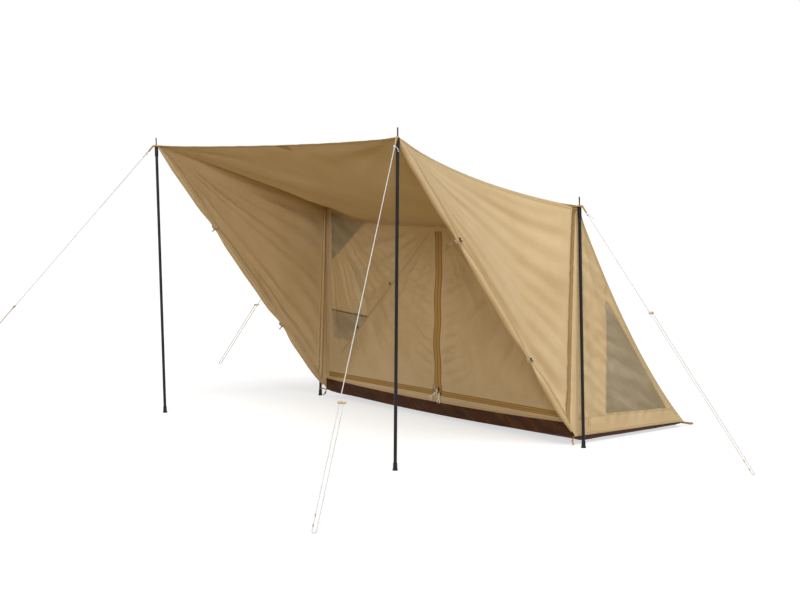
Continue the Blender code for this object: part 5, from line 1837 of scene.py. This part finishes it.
@dataclass
class EndWall(Assembly):
    """One triangular end wall with its net window and hems."""

    side: Side
    cell: float = 13 * MM
    window: tuple[Pair, ...] = ((0.231, 0.730), (0.240, 0.140), (0.735, 0.119))

    @property
    def stretch(self) -> float:
        """Distance along the wall for each metre of depth."""
        shape = self.shape
        return hypot(shape.half_ridge - shape.half_rear, shape.floor_depth) / shape.floor_depth

    def place(self, a: float, z: float) -> Vector:
        """A point of the folded wall, a along it from the front corner."""
        shape, side = self.shape, self.side.value
        run = Vector((side * (shape.half_rear - shape.half_ridge), shape.floor_depth, 0)).normalized()
        inward = Vector((-side * run.y, side * run.x, 0))
        base = Vector((side * shape.half_ridge, shape.front_y, 0)) + run * a
        depth = a / self.stretch
        seed = 101.0 if side < 0 else 108.0
        roof = shape.roof_side(clamp(depth / shape.floor_depth), side).z
        clear = ease(roof - z, 0.0, 0.09) * ease(z, 0.06, 0.14) * ease(depth, 0.0, 0.06)
        folds = Fan((0.0, 1.18), 6.0, 9 * MM, 1.5, seed).at(depth, z)
        folds += 5 * MM * wander(depth * 5, z * 4, seed)
        folds += 2.6 * MM * wander(depth * 16 + z * 9, z * 16 - depth * 9, seed + 9)
        slope = z + 0.75 * depth
        folds += Pucker(0.095, 6.5 * MM, 0.16, seed + 1).at(slope, depth - 0.03) * ease(depth, 0.01, 0.05)
        folds += Pucker(0.058, 5.0 * MM, 0.06, seed + 2).at(slope, depth - 0.21)
        folds += Pucker(0.075, 6.5 * MM, 0.05, seed + 3).at(depth, z - 0.10)
        in_net = min(ease(depth, 0.23, 0.27), ease(z, 0.12, 0.16))
        creases = 3 * MM * wander(depth * 5 + z * 3, z * 20 - depth * 7, seed + 12)
        out = 1 * MM - clear * mix(folds, 0.35 * folds + creases, in_net)
        return base + Vector((0, 0, z)) + inward * out

    def build(self) -> None:
        """Build the wall, its net and its seams."""
        shape, word = self.shape, self.side.word
        start, drop, last = 0.4 * MM, 1.6 * MM, 0.992
        k = self.stretch
        outline = [(shape.floor_depth * last * k, shape.end_rim(last)), (start, shape.end_rim(0))]
        for t in spread(22)[:-1]:
            depth = max(t * shape.floor_depth, start)
            outline.append((depth * k, shape.roof_side(depth / shape.floor_depth, 1).z - drop))
        outline.append((shape.floor_depth * last * k, shape.end_rim(last) + 4 * MM))
        window = [(a * k, z) for a, z in self.window]
        wall = self.tailor.panel("end_cloth_" + word, list(reversed(outline)), [window], self.place, CLOTH,
                                 self.cell, CANVAS, replaces=["end_wall_" + word])
        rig.sheet(wall, flat=(0.90, 1.16), held="stretched", rests_on=["rear_roof", "groundsheet"], area=0.32)
        net = self.tailor.panel("end_net_cloth_" + word, window, [], self.place, NET_CLOTH, 22 * MM, NET,
                                replaces=["end_net_" + word])
        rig.sheet(net, flat=(0.51, 0.61), held="stretched", rests_on=["end_wall_" + word], area=0.150)
        top = shape.roof_side(0.2318 / shape.floor_depth, 1).z - 0.02
        for name, width, path in (
                ("roof_seam", 12 * MM, [(t * shape.floor_depth * k, shape.roof_side(t, 1).z - drop - 9 * MM)
                                        for t in spread(60, 0.03, 0.93)]),
                ("front_seam", 12 * MM, [(0.013, z) for z in spread(60, 0.07, 1.10)]),
                ("window_upright", 9 * MM, [(mix(0.2405, 0.2305, (z - 0.14) / 0.6) * k, z)
                                            for z in spread(50, 0.138, top)]),
                ("window_hem", 9 * MM, [(a * k, mix(0.140, 0.117, clamp((a - 0.24) / 0.5)) - 5 * MM)
                                        for a in spread(60, 0.02, 0.79)]),
                ("foot_hem", 12 * MM, [(a * k, shape.end_rim(a / shape.floor_depth) + 8 * MM)
                                       for a in spread(60, 0.02, 0.86)]),
                ("window_slope", 9 * MM, [((mix(0.231, 0.735, t) + 5 * MM) * k, mix(0.730, 0.119, t) + 4 * MM)
                                          for t in spread(40)])):
            self.tailor.seam(f"end_{name}_{word}", self.place, path, width, STITCHED)


@dataclass
class Floor(Assembly):
    """The coated groundsheet with its front band, pole loops and peg loops."""

    band: float = 0.068
    curve: float = 0.30
    coated: Finish = CoatedPolyester()
    tie: Finish = CottonWebbing(name="tie_webbing", light="B08B55", dark="80602F")

    def tray(self, s: float, t: float) -> Vector:
        """A point of the tray, s across and t from the front rim to the rear hem."""
        shape = self.shape
        front_half = shape.half_ridge - 2 * MM
        half = mix(front_half, shape.half_rear, t)
        middle = shape.front_y + 1 * MM
        y = mix(middle, shape.rear_y - shape.rear_bow * (1 - s * s) - 1 * MM, t)
        edge = mix(mix(shape.front_rim(front_half * s), shape.end_rim(t) - 2 * MM, abs(s) ** 4),
                   shape.rear_rim - 2.4 * MM, t ** 3)
        sides = max(1 - (1 - abs(s)) * half / self.curve, 1 - (1 - t) * shape.floor_depth / self.curve, 0)
        front = max(1 - t * shape.floor_depth / self.curve, 0)
        level = 1 * MM + (edge - 1 * MM) * max(sides ** 9, front ** 3.5)
        creases = abs(wander(half * s * 3.2, y * 3.6, 121.0)) * 5 * MM
        creases += abs(wander(half * s * 8, y * 8, 127.0)) * 2 * MM
        calm = ease(1 - abs(s), 0, 0.06) * ease(t, 0.0, 0.10) * ease(1 - t, 0, 0.08)
        return Vector((half * s, y, level + creases * calm))

    def upstand(self, s: float, share: float) -> Vector:
        """A point of the front band, share from its rim up to the sill."""
        shape = self.shape
        x = (shape.half_ridge - 2 * MM) * s
        z = shape.front_rim(x) + self.band * share
        slack = 7 * MM * wander(x * 5 + share * 2.0, share * 1.6, 131.0)
        slack += 3.5 * MM * sin(x * 31 + share * 2.4)
        slack += 3 * MM * wander(x * 17 + share * 3.0, share * 2.0, 137.0)
        return Vector((x, shape.front_y + 1 * MM + slack * hump(clamp(share)) * ease(1 - abs(s), 0, 0.05), z))

    def surface(self, s: float, d: float) -> Vector:
        """The band for d below 0 and the tray for d from 0 to 1."""
        return self.upstand(s, -d) if d <= 0 else self.tray(s, d)

    def build(self) -> None:
        """Build the tray, the loop at the left ridge pole's foot and the peg loops."""
        levels = [-1 + i / 8 for i in range(8)] + spread(54)
        rows = np.array([[self.surface(s, d) for s in spread(130, -1, 1)] for d in levels])
        floor = self.tailor.grid("floor_cloth", rows, CLOTH, self.coated, replaces=["groundsheet"], angle=60)
        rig.sheet(floor, flat=(2.24, 1.00), held="laid", rests_on=["front_sill"], area=2.03)
        self.build_pole_loop(Side.LEFT)
        for side in Side:
            self.build_corner_tab(side)
            self.build_peg_loop(side)

    def build_pole_loop(self, side: Side) -> None:
        """Build the twisted webbing that ties a front corner to the ridge pole's foot."""
        shape, sign = self.shape, side.value
        foot, top = shape.pole("ridge", side)
        level = shape.corner_rim - 3.2 * MM + 1.5 * MM
        axis = foot.lerp(top, level / top.z)
        out = 9.8 * MM
        line = [Vector((sign * (shape.half_ridge - 18 * MM), shape.front_y - 4 * MM, level)),
                Vector((axis.x - sign * 14 * MM, shape.front_y - 7 * MM, level))]
        for degrees in range(-130, 131, 20):
            turn = radians(degrees)
            line.append(Vector((axis.x + sign * out * cos(turn), axis.y + out * sin(turn), level)))
        line += [Vector((axis.x - sign * 14 * MM, shape.front_y + 3 * MM, level)),
                 Vector((sign * (shape.half_ridge - 14 * MM), shape.front_y + 1 * MM, level))]
        smooth = smooth_line(line, 3)
        normals = [run.cross(UP).normalized() for run in runs_of(smooth)]
        self.tailor.strip("pole_loop_" + side.word, smooth, normals, 4.5 * MM, 1.6 * MM, self.tie)

    def build_corner_tab(self, side: Side) -> None:
        """Build the short webbing tab that hangs from a front corner."""
        shape, sign = self.shape, side.value
        x, y, level = sign * (shape.half_ridge - 4 * MM), shape.front_y, shape.corner_rim - 2 * MM
        hang = [Vector((x, y - 3 * MM, level)), Vector((x - sign * 4 * MM, y - 8 * MM, level - 14 * MM)),
                Vector((x + sign * 3 * MM, y - 12 * MM, level - 30 * MM)),
                Vector((x + sign * 12 * MM, y - 15 * MM, level - 37 * MM))]
        line = smooth_line(hang, 8)
        twist = [Vector((cos(i * 0.22), sin(i * 0.22), 0.2)).normalized() for i in range(len(line))]
        self.tailor.strip("corner_tab_low_" + side.word, line, twist, 11 * MM, 2.2 * MM, self.tie)

    def build_peg_loop(self, side: Side) -> None:
        """Build the doubled webbing loop from a rear corner down to the ground."""
        shape, sign = self.shape, side.value
        root = Vector((sign * (shape.half_rear - 12 * MM), shape.rear_y - 16 * MM, shape.rear_rim - 2.8 * MM))
        end = Vector((sign * (shape.half_rear - 33 * MM), shape.rear_y + 0.105, 3.4 * MM))
        run = (end - root).normalized()
        across = run.cross(Vector((side.value, 0.4, 0.3))).normalized()
        shares = ((0.0, 2.5 * MM), (0.3, 2.6 * MM), (0.75, 2.6 * MM), (1.0, 4 * MM))
        line = [root.lerp(end, share) - across * out for share, out in shares]
        line.append(end + run * 3 * MM)
        line += [root.lerp(end, share) + across * out for share, out in reversed(shares)]
        line = [Vector((p.x, p.y, max(p.z, 4.4 * MM))) for p in smooth_line(line, 8)]
        self.tailor.cord("peg_loop_" + side.word, line, 3.6 * MM, self.tie, sides=10)


@dataclass
class Guyline(Assembly):
    """One taut guyline: the main leg to the peg, the return leg, its knots and its wooden slider."""

    corner: Corner
    radius: float = 2 * MM
    elbow: float = 15.5 * MM
    leg_gap: float = 18 * MM
    pin_radius: float = 3.25 * MM
    over_eye: float = 6.1 * MM
    slider_depth: float = 8 * MM
    knot_down: float = 58 * MM
    whippings_up: Pair = (75 * MM, 30 * MM)
    whipping_half: float = 7 * MM
    rope: Finish = BraidedCord()
    whipping: Finish = BraidedCord(name="tan_whipping", slot="canvas", light="CBA56A", dark="96713C")

    def route(self) -> tuple[list[Vector], list[Vector], Vector, Vector, Vector, float]:
        """The line's two legs.

        Returns:
            The main leg with its bend, the return leg, the elbow, the direction down the line,
            the direction from leg to leg, and the length from elbow to ground.
        """
        kind, side, (x, y), share = self.corner.value
        pin = self.shape.pole(kind, side)[1] + Vector((0, 0, self.over_eye))
        anchor = pin + Vector((x - pin.x, y - pin.y, 0)).normalized() * self.elbow
        run = Vector((x, y, 4 * MM)) - anchor
        down, length = run.normalized(), run.length
        sideways = Vector((-down.y, down.x, 0)).normalized()
        bend = self.leg_gap / 2
        main = [pin + (anchor - pin).normalized() * (self.pin_radius + 0.3 * MM)]
        main += [anchor + down * d for d in spread(24, 0, length - bend)]
        centre = anchor + down * (length - bend) + sideways * bend
        for angle in spread(16, 0, pi)[1:]:
            main.append(centre - sideways * (bend * cos(angle)) + down * (bend * sin(angle)))
        stop = length * share + self.slider_depth / 2 + 0.4 * MM
        back = [anchor + sideways * self.leg_gap + down * d for d in spread(20, length - bend, stop)]
        return main, back, anchor, down, sideways, length

    def build(self) -> None:
        word = self.corner.word
        *_, share = self.corner.value
        main, back, anchor, down, sideways, length = self.route()
        node, slider = "guyline_" + word, "adjuster_" + word
        tab = self.build_tab(anchor, down, word)
        tied = anchor + down * self.knot_down
        knot = self.tailor.knot("head_knot_" + word, tied, down, 4.6 * MM, self.radius, self.rope)
        tail = smooth_line([tied + sideways * 3 * MM, tied + down * 10 * MM + sideways * 15 * MM,
                            tied + down * 30 * MM + sideways * 22 * MM], 6)
        end = self.tailor.cord("head_tail_" + word, tail, self.radius * 0.8, self.rope)
        whips = []
        for number, place in enumerate(self.whippings_up):
            middle = anchor + down * (length - place)
            line = [middle + down * d for d in spread(6, -self.whipping_half, self.whipping_half)]
            whips.append(self.tailor.cord(f"whipping_{word}_{number}", line, self.radius * 1.35,
                                          self.whipping))
        leg = self.tailor.cord("line_" + word, main, self.radius, self.rope, sides=10, replaces=[node])
        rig.cord(leg, exit=main[0], length=self.measure(main), diameter=2 * self.radius, far_end="object",
                stiffness="limp", lay="taut", path=main, with_pieces=[knot, end, tab, *whips])
        doubled = self.tailor.cord("return_" + word, back, self.radius, self.rope, sides=10, body="",
                                   replaces=[node])
        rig.blend(doubled, "root", slider, start=back[0], end=back[-1])
        stopper = anchor + sideways * self.leg_gap + down * (length * share - self.slider_depth / 2 - 3 * MM)
        stop_knot = self.tailor.knot("stop_knot_" + word, stopper, down, 2.6 * MM, self.radius * 0.8,
                                     self.rope, body=slider)
        stub = [anchor + sideways * self.leg_gap + down * (length * share + d)
                for d in spread(6, self.slider_depth / 2 + 1 * MM, -self.slider_depth / 2 - 2 * MM)]
        short = self.tailor.cord("slider_cord_" + word, stub, self.radius * 0.9, self.rope, body=slider)
        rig.cord(doubled, exit=back[0], length=self.measure(back), diameter=2 * self.radius, far_end="object",
                stiffness="limp", lay="taut", path=back, with_pieces=[slider, stop_knot, short])

    @staticmethod
    def measure(line: Sequence[Vector]) -> float:
        """The length of a line."""
        return sum((b - a).length for a, b in zip(line, line[1:]))

    def build_tab(self, anchor: Vector, down: Vector, word: str) -> Object:
        """Build the folded webbing tab from the cloth's corner, over the pin, to the cord's head."""
        kind, side, _, _ = self.corner.value
        pin = self.shape.pole(kind, side)[1]
        away = (Vector((anchor.x, anchor.y, 0)) - Vector((pin.x, pin.y, 0))).normalized()
        over = [pin + away * out * MM + UP * rise * MM
                for out, rise in ((-30, -2), (-14, 2.5), (0, 5.5), (9, 4.5))]
        line = smooth_line(over + [anchor + down * d * MM for d in (5, 24, 46)], 5)
        radii = [mix(3.0, 5.4, hump(mix(0.10, 0.80, i / (len(line) - 1)))) * MM for i in range(len(line))]
        return self.tailor.cord("corner_tab_" + word, line, radii, WEBBING, sides=14)


@dataclass
class Fittings(Assembly):
    """The poles, zip sliders, pulls, toggles and wooden sliders: model nodes that keep their shape."""

    frame: dict
    steel: Finish = EnamelledSteel()
    rubber: Finish = Rubber()
    collar_radius: float = 8.15 * MM
    collar_swell: float = 0.35 * MM
    sharp_edge: float = 38.0
    brass: Finish = AntiquedBrass()
    collar: Finish = EnamelledSteel(name="worn_collar")
    beech: Finish = OiledBeech()
    pull_cord: Finish = BraidedCord(name="pull_cord", light="F6F3ED", dark="CFC9BE")

    def dress(self) -> None:
        """Give every node that stays its finish."""
        finishes = (("foot", self.rubber), ("ridge_pole", self.steel), ("canopy_pole", self.steel),
                    ("slider_", self.brass), ("toggle_", HORN), ("adjuster_", self.beech))
        for name, node in self.frame["nodes"].items():
            if node.hide_render:
                continue
            for part, finish in finishes:
                if part in name:
                    node.data.materials.clear()
                    node.data.materials.append(self.tailor.material(finish))
                    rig.slot(node, finish.slot)
                    node.data.shade_smooth()
                    node.data.set_sharp_from_angle(angle=radians(self.sharp_edge))
                    LOG.info("%s: %s", name, finish.name)
                    break

    def build_joints(self) -> None:
        """Build the crimped collars where pole sections meet."""
        for kind, sections in (("ridge", 3), ("canopy", 4)):
            for side in Side:
                foot, top = self.shape.pole(kind, side)
                run = (top - foot).normalized()
                length = (top - foot).length / sections
                for i in range(1, sections):
                    middle = foot + run * length * i
                    line = [middle + run * d for d in spread(8, -5 * MM, 1.5 * MM)]
                    radii = [self.collar_radius + self.collar_swell * sin(pi * k / 8) ** 0.5
                             for k in range(9)]
                    self.tailor.cord(f"collar_{kind}_{side.word}_{i}", line, radii, self.collar, sides=20,
                                     angle=50.0)

    def build_pulls(self) -> None:
        """Build the three cord pulls: a loop through the ear, doubled legs, a knot and two tails."""
        places = {"centre": (0.0, 0.168, -2 * MM, 24 * MM), "left": (-0.020, 0.145, -30 * MM, 22 * MM),
                  "right": (0.020, 0.145, 1 * MM, 33 * MM)}
        pivot_y = self.shape.front_y - 5.0 * MM
        for name, (x, z, lean, drop) in places.items():
            ear = Vector((x, pivot_y, z))
            low = ear + Vector((lean, -4 * MM, -drop))
            wide = 6.5 * MM if name == "centre" else 5 * MM
            middle = ear.lerp(low, 0.5)
            line = [low, middle + Vector((2 * MM, 0, -2 * MM)), ear + Vector((wide, -3 * MM, -6 * MM)),
                    ear + Vector((wide * 0.7, -2.5 * MM, 0)), ear + Vector((0, 0, 1.2 * MM)),
                    ear + Vector((-wide * 0.7, -2.5 * MM, 0)), ear + Vector((-wide, -3 * MM, -6 * MM)),
                    middle + Vector((-2 * MM, -1 * MM, -2 * MM)), low]
            body = "pull_" + name
            self.tailor.cord("pull_loop_" + name, smooth_line(line, 6), 2.0 * MM, self.pull_cord, body=body,
                             replaces=[body])
            self.tailor.knot("pull_knot_" + name, low, Vector((lean, -2 * MM, -20 * MM)), 3.6 * MM, 1.9 * MM,
                             self.pull_cord, body=body)
            for number, sway in enumerate((-12 * MM, 11 * MM)):
                tail = [low, low + Vector((sway * 0.9, -3 * MM, -9 * MM)),
                        low + Vector((sway * 0.6, -3 * MM, -22 * MM))]
                self.tailor.cord(f"pull_tail_{name}_{number}", smooth_line(tail, 6), 2.0 * MM, self.pull_cord,
                                 body=body)


@dataclass
class Studio:
    """The camera at the photograph's angle, a pale floor and soft plain light."""

    place: Triple = (6.8794, -5.7961, 1.3408)
    azimuth: float = 53.51
    down: float = 4.43
    sensor: float = 36.0
    lens: float = 1571.6 * 36 / 800
    floor_half: float = 60.0
    # By name: strength, angle in degrees, tint and where the light comes from.
    lamps: tuple[tuple[str, float, float, str, Triple], ...] = (
        ("key", 2.45, 26.0, "FFFFFF", (0.60, -0.42, 0.85)),
        ("fill", 0.80, 14.0, "FFFFFF", (0.98, -0.75, 0.26)),
        ("sky", 0.46, 8.0, "FFF6E8", (-0.75, -0.62, 0.24)))

    def build_camera(self) -> None:
        """Make the scene's camera."""
        a, e = radians(self.azimuth), radians(self.down)
        back = Vector((sin(a) * cos(e), -cos(a) * cos(e), sin(e)))
        camera = self.aim("camera", bpy.data.cameras.new("camera"), Vector(self.place), back)
        camera.data.lens = self.lens
        camera.data.sensor_width = self.sensor
        camera.data.clip_end = 200.0
        bpy.context.scene.camera = camera

    def build_light(self) -> None:
        """Make a soft high key from the right, and a low soft fill that shows the folds in the shade."""
        for name, strength, angle, tint, toward in self.lamps:
            lamp = bpy.data.lights.new(name, "SUN")
            lamp.energy, lamp.angle = strength, radians(angle)
            lamp.color = linear(tint)[:3]
            self.aim(name, lamp, Vector(toward) * 6, Vector(toward))

    @staticmethod
    def aim(name: str, data: bpy.types.ID, place: Vector, back: Vector) -> Object:
        """Put a camera or a lamp in the scene.

        Args:
            name: Its name.
            data: The camera or the lamp.
            place: Where it stands.
            back: The direction it looks away from.

        Returns:
            Its object.
        """
        holder = bpy.data.objects.new(name, data)
        bpy.context.scene.collection.objects.link(holder)
        holder.location = place
        holder.rotation_mode = "QUATERNION"
        holder.rotation_quaternion = (-back).to_track_quat("-Z", "Y")
        return holder

    def build_stage(self) -> None:
        """Make the floor, which shows white but keeps the shadow, and the world."""
        world = bpy.data.worlds.new("studio")
        world.use_nodes = True
        bpy.context.scene.world = world
        tree = world.node_tree
        tree.nodes.clear()
        soft = add_node(tree, "Background", {"Color": linear("F4F1EA"), "Strength": 0.37})
        white = add_node(tree, "Background", {"Color": (1, 1, 1, 1), "Strength": 1.0})
        self.finish_tree(tree, "World", soft, white)
        mesh = bpy.data.meshes.new("floor")
        corners = [(x * self.floor_half, y * self.floor_half, 0)
                   for x, y in ((-1, -1), (1, -1), (1, 1), (-1, 1))]
        mesh.from_pydata(corners, [], [(0, 1, 2, 3)])
        floor = bpy.data.objects.new("floor", mesh)
        bpy.context.scene.collection.objects.link(floor)
        floor.location.z = -0.4 * MM
        material = bpy.data.materials.new("studio_floor")
        material.use_nodes = True
        tree = material.node_tree
        tree.nodes.clear()
        lit = add_node(tree, "BsdfDiffuse", {"Color": linear("B4B4B4")})
        bounced = add_node(tree, "BsdfDiffuse", {"Color": linear("AD976C")})
        glow = add_node(tree, "Emission", {"Color": (1, 1, 1, 1), "Strength": 0.62})
        shown = add_node(tree, "AddShader", {0: lit, 1: glow})
        self.finish_tree(tree, "Material", bounced, shown)
        mesh.materials.append(material)
        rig.stage(floor)
        bpy.context.scene.view_settings.view_transform = "Standard"

    @staticmethod
    def finish_tree(tree: Tree, kind: str, unseen: Socket, seen: Socket) -> None:
        """End a tree in two shaders, one for what the camera sees straight, mirrored or through glass.

        Args:
            tree: The node tree.
            kind: The output node's kind, "World" or "Material".
            unseen: The shader that lights the scene.
            seen: The shader that the camera sees.
        """
        ray = add_node(tree, "LightPath", output="Is Camera Ray")
        for other in ("Is Glossy Ray", "Is Transmission Ray"):
            other_ray = add_node(tree, "LightPath", output=other)
            ray = add_node(tree, "Math", {"operation": "MAXIMUM", 0: ray, 1: other_ray})
        both = add_node(tree, "MixShader", {0: ray, 1: unseen, 2: seen})
        fill(tree.nodes.new("ShaderNodeOutput" + kind), {"Surface": both})


def corners_of(box: tuple[Vector, Vector]) -> list[list[float]]:
    """A box's two corners as plain numbers."""
    return [[round(float(c), 5) for c in corner] for corner in box]


def main() -> None:
    """Build the whole scene in order and write the two boxes."""
    logging.basicConfig(level=logging.INFO, format="%(name)s: %(message)s")
    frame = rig.load()
    cad_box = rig.bounds()
    shape, tailor = TentShape(), Tailor()
    studio = Studio()
    studio.build_camera()
    for corner in Corner:
        Guyline(shape, tailor, corner).build()
    Roof(shape, tailor).build()
    for side in Side:
        Wing(shape, tailor, side).build()
        EndWall(shape, tailor, side).build()
    FrontWall(shape, tailor).build()
    Floor(shape, tailor).build()
    fittings = Fittings(shape, tailor, frame)
    fittings.build_pulls()
    fittings.build_joints()
    fittings.dress()
    studio.build_light()
    studio.build_stage()
    with open("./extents.json", "w", encoding="utf-8") as target:
        json.dump({"cad": corners_of(cad_box), "visual": corners_of(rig.bounds())}, target)


if __name__ == "__main__":
    main()
